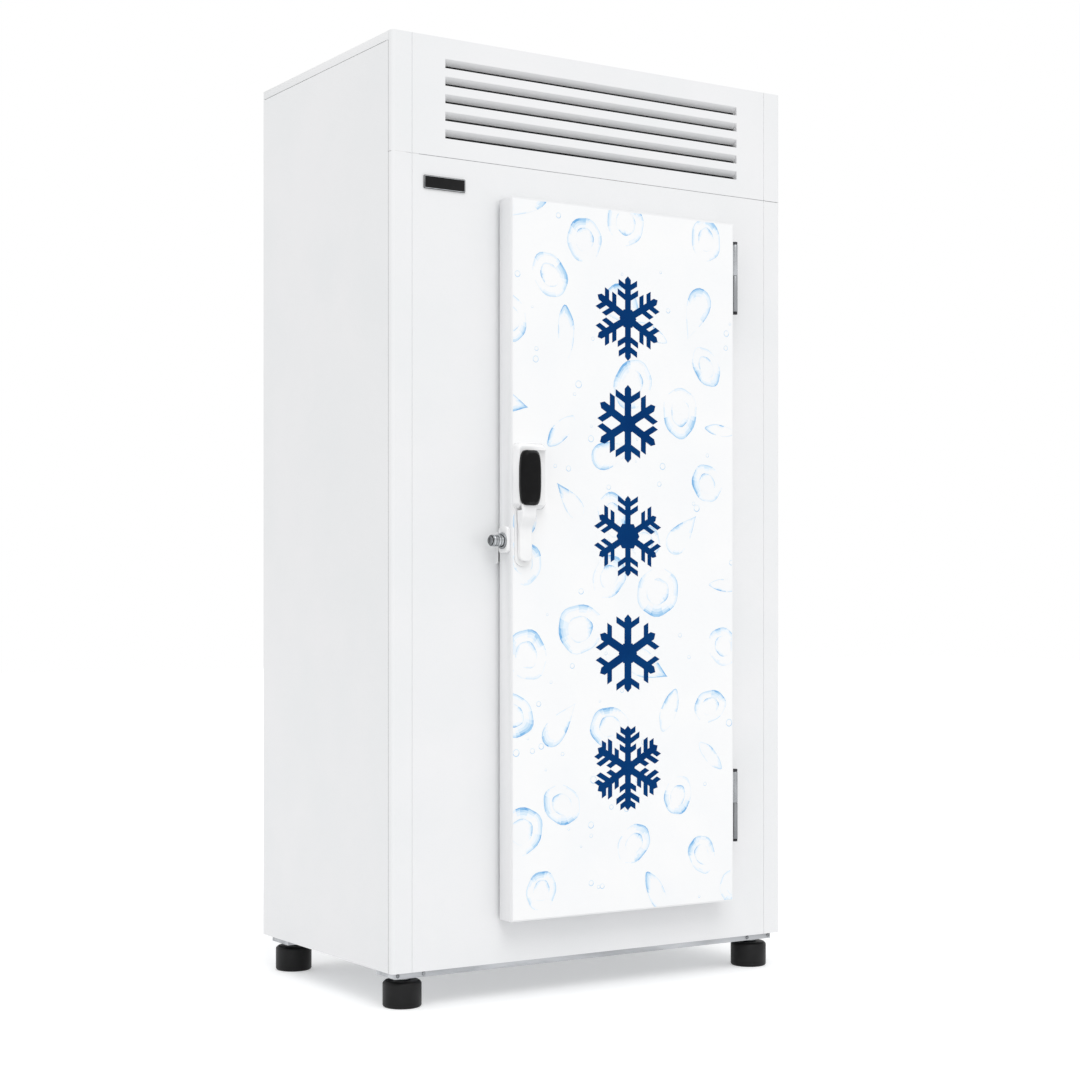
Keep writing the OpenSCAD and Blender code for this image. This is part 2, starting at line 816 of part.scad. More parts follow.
module condenser_fan_motor() {
    motor = [36, 55];
    post = [40, 6];
    base = [60, 3];
    x = condenser_x - post[0] / 2;
    y = fan_y + 20;
    color("dimgray") union() {
        bar_y(condenser_x, y, y + motor[1], fan_z, motor[0]);
        bar_y(condenser_x, fan_y - 12, y + past, fan_z, shaft_r);
        block([x, y + 20, deck_z], [x + post[0], y + 20 + post[1], fan_z]);
        block([x, y, deck_z], [x + post[0], y + base[0], deck_z + base[1]]);
    }
}

module condenser_fan() {
    color("lightgray") fan(condenser_x, fan_y, fan_z, fan_r, 22, shaft_r);
}

module filter_drier() {
    cap = 12;
    color("peru") union() {
        bar_x(drier_x + cap, drier_x + drier_w - cap, header_y, drier_z, 11);
        bar_x(drier_x, drier_x + drier_w, header_y, drier_z, 7);
    }
}

// Copper lines between the compressor, the condenser, the drier and the evaporator.
module refrigerant_lines() {
    x0 = compressor_at[0] - compressor_foot;
    x1 = compressor_at[0] + compressor_foot;
    coil_x = evap_w / 2 - evap_coil_in;
    coil_z = room_hi[2] - 50;
    rise_x = condenser_end + 20;
    color("chocolate") {
        pipe([[x1, line_ys[0], line_z], [line_x, line_ys[0], line_z],
            [line_x, line_ys[0], coil_z], [coil_x, line_ys[0], coil_z]], line_rs[0]);
        pipe([[x0, line_ys[0], line_z], [rise_x, line_ys[0], line_z],
            [rise_x, header_y, line_z], [condenser_end, header_y, line_z]], line_rs[1]);
        pipe([[condenser_end, header_y, drier_z], [drier_x, header_y, drier_z]], line_rs[1]);
        pipe([[drier_x + drier_w, header_y, drier_z], [line_x, header_y, drier_z],
            [line_x, line_ys[1], drier_z], [line_x, line_ys[1], coil_z],
            [coil_x, line_ys[1], coil_z]], line_rs[1]);
    }
}

// Electrical box with a lid.
module control_box() {
    lid = 4;
    rim = 3;
    color("gray") union() {
        translate(box_lo) cube(box_size - [0, 0, lid]);
        translate(box_lo + [-rim, -rim, box_size[2] - lid])
            cube([box_size[0] + 2 * rim, box_size[1] + 2 * rim, lid]);
    }
}

// Recessed inlet in the rear cover with a gland for the supply lead.
module cable_gland() {
    cup_t = 1.5;
    nut_r = 12;
    lead_r = 4.5;
    y1 = back_y - back_in;
    color("dimgray") difference() {
        union() {
            difference() {
                bar_y(gland_x, y1 - gland_d, y1, gland_z, gland_r);
                bar_y(gland_x, y1 - gland_d + cup_t, y1 + past, gland_z, gland_r - cup_t);
            }
            translate([gland_x, y1 - gland_d + past / 2, gland_z]) rotate([-90, 0, 0])
                cylinder(h = gland_d - 6, r = nut_r, $fn = 6);
            bar_y(gland_x, y1 - gland_d + past / 2, y1 - 2, gland_z, nut_r * 0.7);
        }
        bar_y(gland_x, y1 - gland_d - past, y1 + past, gland_z, lead_r);
    }
}

// ---- Hinges ----

// Leaf on the front panel: flange behind the door's edge, arm beside it and the lower knuckle.
module hinge_leaves_fixed() {
    flange_in = 18;
    color("silver") for (z = hinge_zs) {
        z0 = z + hinge_cap;
        z1 = z + knuckle_z;
        z2 = z + hinge_h - hinge_cap;
        x1 = hinge_x + hinge_r;
        difference() {
            union() {
                bar_z(hinge_x, hinge_y, z0, z1, hinge_r);
                block([x1 - leaf_t, hinge_y, z0], [x1, face_y, z1]);
                block([x1 - leaf_t, hinge_y + hinge_r + 1, z0], [x1, face_y, z2]);
                block([hinge_x - flange_in, face_y - leaf_t, z0], [x1, face_y, z2]);
            }
            bar_z(hinge_x, hinge_y, z0 - past, z1 + past, hinge_pin_r + run_clear);
        }
    }
}

// Leaf on the door's edge with the upper knuckle.
module hinge_leaves_door() {
    web = 3;
    leaf_end = 12;
    color("silver") for (z = hinge_zs) {
        z1 = z + knuckle_z + knuckle_gap;
        z2 = z + hinge_h - hinge_cap - touch;
        difference() {
            union() {
                bar_z(hinge_x, hinge_y, z1, z2, hinge_r);
                block([door_hi[0], hinge_y - web, z1], [hinge_x, hinge_y + web, z2]);
                block([door_hi[0], hinge_y - web, z1], [door_hi[0] + leaf_t, face_y - leaf_end, z2]);
            }
            bar_z(hinge_x, hinge_y, z1 - past, z2 + past, hinge_pin_r + run_clear);
        }
    }
}

// Pins with a cap at each end.
module hinge_pins() {
    color("dimgray") for (z = hinge_zs) {
        union() {
            bar_z(hinge_x, hinge_y, z, z + hinge_h, hinge_pin_r);
            bar_z(hinge_x, hinge_y, z, z + hinge_cap, hinge_r - 0.5);
            bar_z(hinge_x, hinge_y, z + hinge_h - hinge_cap, z + hinge_h, hinge_r - 0.5);
        }
    }
}

// ---- Door ----

// Painted pan of the door, open at its back.
module door_skin() {
    front = face_y - door_front;
    inset = [skin, skin];
    color("white") difference() {
        panel(door_lo, door_hi, front, face_y - door_gap);
        panel(door_lo + inset, door_hi - inset, front + skin, face_y - door_gap + past);
        bar_x(lock_x - past, lock_x + skin + past, lock_y, lock_z, neck_r + touch);
    }
}

// Space inside the door's edge where the lock's hook turns.
module hook_pocket() {
    block([lock_x + skin - past, lock_y - hub_r - pocket_clear, lock_z - hook_reach - pocket_clear],
        [lock_x + skin + pocket_in, face_y, lock_z + hook_w / 2 + barb + pocket_clear]);
}

// Inner panel of the door, raised where it enters the doorway.
module door_liner() {
    inset = [skin, skin];
    t = [liner_t, liner_t];
    lo = way_lo + [plug_clear, plug_clear];
    hi = way_hi - [plug_clear, plug_clear];
    back = face_y - door_gap;
    color("whitesmoke") difference() {
        union() {
            panel(door_lo + inset, door_hi - inset, back - liner_t, back);
            panel(lo, hi, back - liner_t, face_y + plug_d);
        }
        panel(lo + t, hi - t, back - liner_t - past, face_y + plug_d - liner_t);
        hook_pocket();
    }
}

// Foam that fills the door.
module door_insulation() {
    inset = [skin, skin];
    t = [liner_t, liner_t] + [plug_clear, plug_clear];
    color("khaki") difference() {
        union() {
            panel(door_lo + inset, door_hi - inset, face_y - door_front + skin, face_y - door_gap - liner_t);
            panel(way_lo + t, way_hi - t, face_y - door_front + skin, face_y + plug_d - liner_t);
        }
        hook_pocket();
    }
}

// Magnetic gasket between the door and the doorway's flange.
module door_gasket() {
    inset = [gasket_inset, gasket_inset];
    color("dimgray")
        ring(door_lo + inset, door_hi - inset, gasket_w, face_y - door_gap, face_y - trim_flange_t);
}

// Printed sheet on the door's face.
module door_print() {
    inset = [print_margin, print_margin];
    front = face_y - door_front;
    color("aliceblue") difference() {
        panel(door_lo + inset, door_hi - inset, front - print_t, front);
        ahead(-past, print_t + past) base_outline(touch);
    }
}

// ---- Latch and lock ----

// A shape drawn in X and Z that stands ahead of the door's face between two distances.
module ahead(a, b) {
    translate([0, face_y - door_front - a, 0]) rotate([90, 0, 0]) linear_extrude(height = b - a) children();
}

// Outline of the latch's plate, grown on every side: wide behind the grip, narrow behind the lever.
module base_outline(grow) {
    g = [grow, grow];
    translate([base_x, base_low] - g) rounded(base_wide + 2 * g, 12 + grow);
    translate([tail_x, tail_low] - g) rounded(base_tail + 2 * g, base_tail[0] / 2 - 1 + grow);
}

// Latch's plate with the lever's boss. Its bevelled housing behind the grip is open to the fingers.
module latch_base() {
    inset = 8; // how far the bevelled sides lean in
    wall_w = 33; // width of the solid part beside the fingers
    rim = 15; // walls above and below the fingers
    top = grip_back - arm_t - 2;
    color("white") difference() {
        union() {
            ahead(0, base_plate_t) base_outline(0);
            hull() {
                ahead(base_plate_t - past, base_plate_t, $fn = 32)
                    translate([base_x, base_low]) rounded(base_wide, 12);
                ahead(top - past, top, $fn = 32) translate([base_x + inset / 2, base_low + inset])
                    rounded(base_wide - [1.5 * inset, 2 * inset], 12 - inset / 2);
            }
            bar_x(lever_x - boss_half, lever_x + boss_half, pivot_y, pivot_z, boss_r);
            ahead(0, pivot_stand) translate([lever_x - boss_half, pivot_z - boss_r])
                square([2 * boss_half, 2 * boss_r]);
        }
        ahead(base_plate_t, grip_stand) translate([base_x + wall_w, base_low + rim])
            square([base_wide[0], base_wide[1] - 2 * rim]);
        bar_x(lever_x - lever_w, lever_x + lever_w, pivot_y, pivot_z, lever_pin_r + run_clear);
    }
}

module latch_pin() {
    half = lever_w / 2 - 0.5;
    color("silver") bar_x(lever_x - half, lever_x + half, pivot_y, pivot_z, lever_pin_r);
}

// Lever: a cranked plate, round at its lower end, with two side walls from the pivot to its neck.
// Points are distance ahead and height.
module latch_lever() {
    foot = -15;
    bend = [48, 80];
    neck_top = base_low - pivot_z - 3; // the walls end under the plate's housing
    eye_wall = 1.3; // wall around the pin
    end_r = 10;
    a = lever_face;
    b = lever_face + lever_sheet;
    c = grip_back - arm_t;
    d = grip_back;
    crank = [[b, foot], [b, bend[0]], [d, bend[1]], [d, lever_head],
        [c, lever_head], [c, bend[1] + 4], [a, bend[0] + 6], [a, foot]];
    cheek = [[b - 1, foot], [b - 1, bend[0]], [d - 1, bend[1]], [d - 1, neck_top],
        [8, neck_top], [8, bend[0]], [6.5, 4], [6.5, -4], [9, -10], [b - 2, foot]];
    half = lever_w / 2;
    color("white") difference() {
        intersection() {
            union() {
                lever_slice(-half, half) polygon(crank);
                for (x = [-half, half - lever_wall]) lever_slice(x, x + lever_wall) {
                    polygon(cheek);
                    translate([pivot_stand, 0]) circle(r = lever_pin_r + eye_wall);
                }
            }
            ahead(0, grip_stand) translate([lever_x - half, pivot_z + foot])
                rounded([lever_w, lever_head - foot], end_r);
        }
        bar_x(lever_x - lever_w, lever_x + lever_w, pivot_y, pivot_z, lever_pin_r + run_clear);
    }
}

// A profile of distance ahead and height above the pivot, as a slice of the lever's width.
module lever_slice(x0, x1) {
    translate([lever_x + x0, face_y - door_front, pivot_z]) rotate([90, 0, 90])
        mirror([1, 0, 0]) linear_extrude(height = x1 - x0) children();
}

// Black grip on the lever: barrel-shaped outline, chamfered all round towards the front.
module latch_grip() {
    slot = lever_w + 2 * touch;
    color("black") difference() {
        hull() {
            ahead(grip_back - 5, grip_stand - 7, $fn = 32) grip_outline(0);
            ahead(grip_stand - past, grip_stand, $fn = 32) grip_outline(7);
        }
        ahead(0, grip_back) translate([lever_x - slot / 2, pivot_z]) square([slot, lever_head + touch]);
    }
}

// The grip's outline seen from the front, drawn in on every side.
module grip_outline(inset) {
    r = 8;
    belly = 40; // length of the tapering stretch at each end
    taper = 6; // how much narrower each side is at the ends
    hull() {
        for (dx = [-1, 1], dz = [-1, 1], end = [0, 1]) {
            x = grip_w / 2 - r - end * taper;
            z = grip_h / 2 - (end == 1 ? r : belly);
            translate([lever_x + dx * x, grip_z + dz * z]) circle(r = r - inset * 0.7);
        }
    }
}

// White block on the door's free edge that carries the lock.
module lock_housing() {
    size = [housing_y[1] - housing_y[0], housing_z[1] - housing_z[0]];
    color("white") difference() {
        translate([lock_x - housing_t, face_y - housing_y[1], lock_z + housing_z[0]])
            rotate([90, 0, 90]) linear_extrude(height = housing_t) rounded(size, 8);
        bar_x(lock_x - housing_t - past, lock_x + past, lock_y, lock_z, neck_r + touch);
    }
}

// Bright fixed barrel of the lock with its flange and neck.
module lock_barrel() {
    x0 = lock_x - housing_t;
    color("silver") difference() {
        union() {
            bar_x(x0 - flange_t, x0, lock_y, lock_z, lock_r + 5);
            bar_x(x0 - flange_t - barrel_l, x0, lock_y, lock_z, lock_r);
            bar_x(x0 - past, lock_x + skin, lock_y, lock_z, neck_r);
        }
        bar_x(x0 - flange_t - barrel_l - past, lock_x + skin + past, lock_y, lock_z, plug_r + run_clear);
    }
}

// Turning plug with its keyway, and the hook on its inner end. The hook hangs down when unlocked.
module lock_plug() {
    x0 = lock_x - housing_t - flange_t - barrel_l;
    key = [1.6, 9];
    color("dimgray") difference() {
        union() {
            bar_x(x0 - head_t, x0, lock_y, lock_z, lock_r - 3);
            bar_x(x0 - past, hook_x + past, lock_y, lock_z, plug_r);
            translate([hook_x, lock_y, lock_z]) rotate([90, 0, 90]) linear_extrude(height = hook_t) {
                circle(r = hub_r);
                translate([-hook_w / 2, -hook_len]) square([hook_w, hook_len]);
                translate([0, -hook_len]) square([hook_w / 2 + barb, barb]);
            }
        }
        translate([x0 - head_t - past, lock_y - key[0] / 2, lock_z - key[1] / 2])
            cube([head_t + past, key[0], key[1]]);
    }
}

// ---- Feet ----

// Black foot with a chamfered rim and a socket for its stem.
module foot(ix, iy) {
    rim = 5;
    base = 3;
    outline = [[0, 0], [foot_r - base, 0], [foot_r, base],
        [foot_r, foot_h - rim], [foot_r - rim, foot_h], [0, foot_h]];
    color("black") translate([foot_xs[ix], foot_ys[iy], 0]) difference() {
        rotate_extrude() polygon(outline);
        translate([0, 0, foot_h - foot_socket])
            cylinder(h = foot_socket + past, r = stem_r + run_clear);
    }
}

// Bright stem with its collar, turning in the rail's bush.
module stem(ix, iy) {
    color("silver") union() {
        bar_z(foot_xs[ix], foot_ys[iy], foot_h - foot_socket + touch, leg_h - rail_t - touch, stem_r);
        bar_z(foot_xs[ix], foot_ys[iy], foot_h, leg_h - rail_h, collar_r);
    }
}

side_panel(-1);  // side_panel_left
side_panel(1);  // side_panel_right
back_panel();
rear_cover();
top_cover();
bottom_pan();
corner_post(-1);  // corner_post_left
corner_post(1);  // corner_post_right
upper_posts();
front_panel();
grille_panel();
inner_liner();
cabinet_insulation();
doorway_trim();
cross_rails();
screws();
name_plate();
floor_rack();
light_base();
light_lens();
lock_keeper();
evaporator_housing();
evaporator_coil();
evaporator_fan_motors();
drain_pipe();
machine_deck();
compressor();
condenser_coil();
condenser_shroud();
condenser_fan_motor();
filter_drier();
refrigerant_lines();
control_box();
cable_gland();
hinge_leaves_fixed();
hinge_pins();
door_skin();
door_insulation();
door_liner();
door_gasket();
door_print();
hinge_leaves_door();
latch_base();
latch_pin();
lock_housing();
lock_barrel();
latch_lever();
latch_grip();
lock_plug();
condenser_fan();
evaporator_fan(-1);  // evaporator_fan_left
evaporator_fan(1);  // evaporator_fan_right
foot(0, 0);  // foot_front_left
foot(1, 0);  // foot_front_right
foot(0, 1);  // foot_rear_left
foot(1, 1);  // foot_rear_right
stem(0, 0);  // stem_front_left
stem(1, 0);  // stem_front_right
stem(0, 1);  // stem_rear_left
stem(1, 1);  // stem_rear_right
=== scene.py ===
import json
import math
import random
import bmesh
import bpy
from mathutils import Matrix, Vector


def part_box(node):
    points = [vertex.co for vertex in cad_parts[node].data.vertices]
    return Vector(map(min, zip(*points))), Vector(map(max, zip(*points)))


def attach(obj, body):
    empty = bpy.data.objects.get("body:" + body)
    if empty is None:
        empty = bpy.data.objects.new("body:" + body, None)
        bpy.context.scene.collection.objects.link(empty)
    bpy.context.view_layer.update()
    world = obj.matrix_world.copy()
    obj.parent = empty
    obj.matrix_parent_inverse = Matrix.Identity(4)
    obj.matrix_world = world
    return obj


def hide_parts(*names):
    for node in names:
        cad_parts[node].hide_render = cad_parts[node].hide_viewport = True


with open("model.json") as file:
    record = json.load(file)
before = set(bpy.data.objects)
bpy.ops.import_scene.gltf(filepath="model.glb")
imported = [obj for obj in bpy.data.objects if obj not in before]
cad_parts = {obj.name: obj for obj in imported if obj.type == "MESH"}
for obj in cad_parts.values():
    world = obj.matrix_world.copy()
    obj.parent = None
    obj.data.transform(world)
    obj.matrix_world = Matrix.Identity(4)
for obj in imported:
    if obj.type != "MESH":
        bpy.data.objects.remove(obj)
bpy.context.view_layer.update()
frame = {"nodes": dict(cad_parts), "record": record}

# Upright ice merchandiser freezer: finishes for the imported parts, and the detailed pieces that go with them.
mm = 0.001
scene = bpy.context.scene
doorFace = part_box("door_skin")[0].y
print("frame loaded with", len(frame["nodes"]), "nodes")


def tone(r, g, b):
    # a screen colour from 0 to 255 as Blender's linear colour
    out = []
    for c in (r, g, b):
        c = c / 255
        out.append(c / 12.92 if c <= 0.04045 else ((c + 0.055) / 1.055) ** 2.4)
    return (*out, 1)


def finishPiece(name, bm, materials, body, replaced=(), smooth=False):
    # turns a bmesh into a shown piece that rides on a body
    mesh = bpy.data.meshes.new(name)
    bm.to_mesh(mesh)
    bm.free()
    for material in materials:
        mesh.materials.append(material)
    for face in mesh.polygons:
        face.use_smooth = smooth
    piece = bpy.data.objects.new(name, mesh)
    scene.collection.objects.link(piece)
    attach(piece, body)
    if replaced:
        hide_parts(*replaced)
    return piece


def joinRings(bm, rings, ends="closed"):
    # skins a list of rings of points, first to last, with its ends closed, open or joined to each other
    rows = [[bm.verts.new(p) for p in ring] for ring in rings]
    count = len(rows[0])
    following = rows[1:] + (rows[:1] if ends == "joined" else [])
    for a, b in zip(rows, following):
        for i in range(count):
            j = (i + 1) % count
            bm.faces.new((a[i], a[j], b[j], b[i]))
    if ends == "closed":
        bm.faces.new(list(reversed(rows[0])))
        bm.faces.new(rows[-1])
    bmesh.ops.recalc_face_normals(bm, faces=bm.faces)


def ringPiece(name, rings, finish, body, replaced=(), ends="closed", crisp=0):
    # a piece skinned from rings; edges steeper than the angle crisp stay sharp, and at 0 every face is flat
    bm = bmesh.new()
    joinRings(bm, rings, ends)
    piece = finishPiece(name, bm, [finished[finish]], body, replaced, smooth=crisp > 0)
    if 0 < crisp < 180:
        piece.data.set_sharp_from_angle(angle=math.radians(crisp))


edgeCare = {"weld": 0.01, "flatWithin": 0.5, "roundFrom": 32, "segments": 2}  # weld in mm, angles in degrees


def softenEdges(node, width):
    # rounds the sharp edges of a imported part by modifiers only
    part = frame["nodes"][node]
    weld = part.modifiers.new("joinFacets", "WELD")
    weld.merge_threshold = edgeCare["weld"] * mm
    flat = part.modifiers.new("mergeFlats", "DECIMATE")
    flat.decimate_type = "DISSOLVE"
    flat.angle_limit = math.radians(edgeCare["flatWithin"])
    bevel = part.modifiers.new("roundEdges", "BEVEL")
    bevel.width = width * mm
    bevel.segments = edgeCare["segments"]
    bevel.limit_method = "ANGLE"
    bevel.angle_limit = math.radians(edgeCare["roundFrom"])
    bevel.harden_normals = True
    part.data.shade_smooth()


def noiseField(tree, scale, stretch, detail):
    # noise that stays put on its object, drawn out along an axis where stretch is small
    place = tree.nodes.new("ShaderNodeTexCoord")
    mapping = tree.nodes.new("ShaderNodeMapping")
    mapping.inputs["Scale"].default_value = stretch
    field = tree.nodes.new("ShaderNodeTexNoise")
    field.inputs["Scale"].default_value = scale
    field.inputs["Detail"].default_value = detail
    tree.links.new(place.outputs["Object"], mapping.inputs["Vector"])
    tree.links.new(mapping.outputs["Vector"], field.inputs["Vector"])
    return field.outputs["Fac"]


def spread(tree, value, low, high, toLow=0, toHigh=1):
    # takes the values between low and high to those between toLow and toHigh
    span = tree.nodes.new("ShaderNodeMapRange")
    span.inputs["From Min"].default_value = low
    span.inputs["From Max"].default_value = high
    span.inputs["To Min"].default_value = toLow
    span.inputs["To Max"].default_value = toHigh
    tree.links.new(value, span.inputs["Value"])
    return span.outputs["Result"]


# What a finish has unless its own line says otherwise. Blend is the stretch of noise over which one tone
# goes over into the other, and detail the fineness of the grain.
plainFinish = {"stretch": (1, 1, 1), "blend": (0.35, 0.65), "detail": 6, "relief": 0.1, "depth": 0.02,
               "metal": 0, "shine": 0.5, "coat": 0}
shared = {"patchDetail": 4, "grainSpan": (0.3, 0.7), "coatRough": 0.12}


def surface(name, ownLook):
    # two near tones in soft patches, a roughness that wanders and a fine relief
    look = plainFinish | ownLook
    material = bpy.data.materials.new(name)
    material.use_nodes = True
    tree = material.node_tree
    shader = tree.nodes["Principled BSDF"]
    patches = noiseField(tree, look["patch"], look["stretch"], shared["patchDetail"])
    tones = tree.nodes.new("ShaderNodeMix")
    tones.data_type = "RGBA"
    for socket, colour in zip("AB", look["tones"]):
        tones.inputs[socket].default_value = tone(*colour)
    tree.links.new(spread(tree, patches, *look["blend"]), tones.inputs["Factor"])
    tree.links.new(tones.outputs["Result"], shader.inputs["Base Color"])
    grain = noiseField(tree, look["grain"], look["stretch"], look["detail"])
    tree.links.new(spread(tree, grain, *shared["grainSpan"], *look["rough"]), shader.inputs["Roughness"])
    bump = tree.nodes.new("ShaderNodeBump")
    bump.inputs["Strength"].default_value = look["relief"]
    bump.inputs["Distance"].default_value = look["depth"] * mm
    tree.links.new(grain, bump.inputs["Height"])
    tree.links.new(bump.outputs["Normal"], shader.inputs["Normal"])
    shader.inputs["Metallic"].default_value = look["metal"]
    shader.inputs["Specular IOR Level"].default_value = look["shine"]
    shader.inputs["Coat Weight"].default_value = look["coat"]
    shader.inputs["Coat Roughness"].default_value = shared["coatRough"]
    return material


# Tones are two screen colours, patch and grain the scales of their noise, rough the least and greatest
# roughness, depth the relief in mm, shine the specular level.
finishes = {
    "white_paint": {"tones": ((238, 239, 240), (241, 241, 242)), "patch": 5, "grain": 900,
                    "rough": (0.26, 0.36), "relief": 0.25, "depth": 0.03, "coat": 0.12},
    "galvanised_sheet": {"tones": ((180, 183, 186), (194, 197, 200)), "patch": 90, "grain": 160,
                         "rough": (0.32, 0.52), "relief": 0.1, "metal": 0.85},
    "rail_steel": {"tones": ((158, 160, 163), (198, 200, 203)), "patch": 30, "grain": 300,
                   "rough": (0.3, 0.46), "stretch": (0.15, 1, 1), "metal": 0.8},
    "liner_sheet": {"tones": ((214, 218, 221), (232, 235, 237)), "patch": 8, "grain": 260,
                    "rough": (0.3, 0.46), "relief": 0.5, "depth": 0.25, "metal": 0.25},
    "foam": {"tones": ((206, 190, 140), (229, 216, 172)), "patch": 20, "grain": 500,
             "rough": (0.8, 0.95), "relief": 0.6, "depth": 0.4},
    "white_trim": {"tones": ((233, 234, 235), (240, 241, 241)), "patch": 6, "grain": 700,
                   "rough": (0.36, 0.48), "relief": 0.15},
    "rack_plastic": {"tones": ((216, 222, 227), (228, 232, 236)), "patch": 12, "grain": 800,
                     "rough": (0.42, 0.58), "relief": 0.3, "depth": 0.05},
    "screw_steel": {"tones": ((88, 90, 93), (158, 160, 163)), "patch": 90, "grain": 900,
                    "rough": (0.22, 0.38), "metal": 1},
    "plate_black": {"tones": ((9, 9, 10), (16, 16, 17)), "patch": 60, "grain": 1500,
                    "rough": (0.2, 0.3), "shine": 0.2},
    "lamp_base": {"tones": ((212, 214, 216), (226, 228, 229)), "patch": 20, "grain": 600,
                  "rough": (0.35, 0.5), "metal": 0.3},
    "lamp_lens": {"tones": ((236, 240, 243), (244, 247, 249)), "patch": 25, "grain": 420,
                  "rough": (0.22, 0.34), "relief": 0.5, "depth": 0.2},
    "coil_aluminium": {"tones": ((172, 177, 182), (208, 212, 216)), "patch": 40, "grain": 500,
                       "rough": (0.3, 0.45), "metal": 0.9},
    "motor_grey": {"tones": ((58, 59, 61), (78, 79, 82)), "patch": 30, "grain": 700,
                   "rough": (0.42, 0.58), "relief": 0.3, "depth": 0.06},
    "fan_plastic": {"tones": ((38, 39, 41), (52, 53, 55)), "patch": 25, "grain": 900,
                    "rough": (0.38, 0.5), "relief": 0.2},
    "drain_plastic": {"tones": ((176, 178, 180), (192, 194, 196)), "patch": 20, "grain": 700,
                      "rough": (0.4, 0.52)},
    "compressor_black": {"tones": ((20, 20, 22), (33, 33, 35)), "patch": 18, "grain": 380,
                         "rough": (0.3, 0.46), "relief": 0.3, "depth": 0.08},
    "copper": {"tones": ((166, 92, 58), (214, 138, 98)), "patch": 30, "grain": 320,
               "rough": (0.22, 0.4), "metal": 1},
    "box_grey": {"tones": ((152, 154, 157), (166, 168, 171)), "patch": 15, "grain": 900,
                 "rough": (0.5, 0.64), "relief": 0.3, "depth": 0.05},
    "gland_black": {"tones": ((20, 20, 21), (30, 30, 32)), "patch": 40, "grain": 900,
                    "rough": (0.5, 0.62), "shine": 0.2},
    # Hinge steels toned down to the mean of bright and dark reflections, a painted reflection; the fixed
    # leaves darker still as painted shade
    "hinge_fixed_steel": {"tones": ((128, 130, 133), (166, 168, 171)), "patch": 40,
                          "grain": 420, "rough": (0.26, 0.4), "stretch": (1, 1, 0.2), "metal": 0.9},
    "hinge_door_steel": {"tones": ((142, 144, 147), (182, 184, 187)), "patch": 40, "grain": 420,
                         "rough": (0.2, 0.34), "stretch": (1, 1, 0.2), "metal": 0.95},
    "hinge_pin_dark": {"tones": ((48, 49, 51), (74, 75, 78)), "patch": 60, "grain": 700,
                       "rough": (0.26, 0.4), "metal": 0.9},
    "gasket_grey": {"tones": ((176, 178, 180), (192, 194, 195)), "patch": 22, "grain": 600,
                    "rough": (0.55, 0.7), "relief": 0.25},
    "print_film": {"tones": ((248, 249, 250), (251, 251, 251)), "patch": 7, "grain": 1200,
                   "rough": (0.26, 0.34), "shine": 0.3},
    "latch_white": {"tones": ((243, 243, 244), (248, 248, 248)), "patch": 30, "grain": 1300,
                    "rough": (0.18, 0.27), "coat": 0.2},
    "grip_black": {"tones": ((7, 7, 8), (13, 13, 14)), "patch": 50, "grain": 1600,
                   "rough": (0.3, 0.42), "relief": 0.35, "depth": 0.05, "shine": 0.13},
    "pin_steel": {"tones": ((176, 178, 181), (210, 212, 214)), "patch": 80, "grain": 900,
                  "rough": (0.14, 0.24), "metal": 1},
    # lock_chrome: its dark tone and its bands along the lock's axis are painted reflection of dark
    # surroundings
    "lock_chrome": {"tones": ((92, 94, 97), (214, 217, 220)), "patch": 260, "grain": 1100,
                    "rough": (0.12, 0.22), "stretch": (1, 0.04, 0.04), "metal": 1},
    "foot_black": {"tones": ((16, 16, 17), (23, 23, 24)), "patch": 35, "grain": 1100,
                   "rough": (0.4, 0.52), "relief": 0.35, "depth": 0.06, "shine": 0.22},
    "stem_chrome": {"tones": ((140, 143, 146), (206, 208, 211)), "patch": 120, "grain": 900,
                    "rough": (0.12, 0.22), "stretch": (0.1, 0.1, 1), "metal": 1},
}
finished = {name: surface(name, look) for name, look in finishes.items()}
for part in frame["record"]["subparts"]:
    mesh = frame["nodes"][part["node"]].data
    mesh.materials.clear()
    mesh.materials.append(finished[part["material_slot"]])
print("finishes made:", len(finished))

# Rounded edges in mm on the parts whose edges show
edgeRounding = {"door_skin": 1.0, "latch_base": 2.0, "lock_housing": 1.4, "lock_barrel": 0.7,
                "lock_plug": 0.4, "hinge_leaves_door": 0.5, "hinge_leaves_fixed": 0.5, "hinge_pins": 0.8,
                "cross_rails": 0.5, "name_plate": 0.5, "floor_rack": 1.5, "top_cover": 0.5,
                "control_box": 1.2, "light_lens": 2.0}
footRounding = {"foot_": 1.6, "stem_": 0.8}
for corner in ("front_left", "front_right", "rear_left", "rear_right"):
    for kind, width in footRounding.items():
        edgeRounding[kind + corner] = width
for node, width in edgeRounding.items():
    softenEdges(node, width)
print("edges rounded on", len(edgeRounding), "parts")


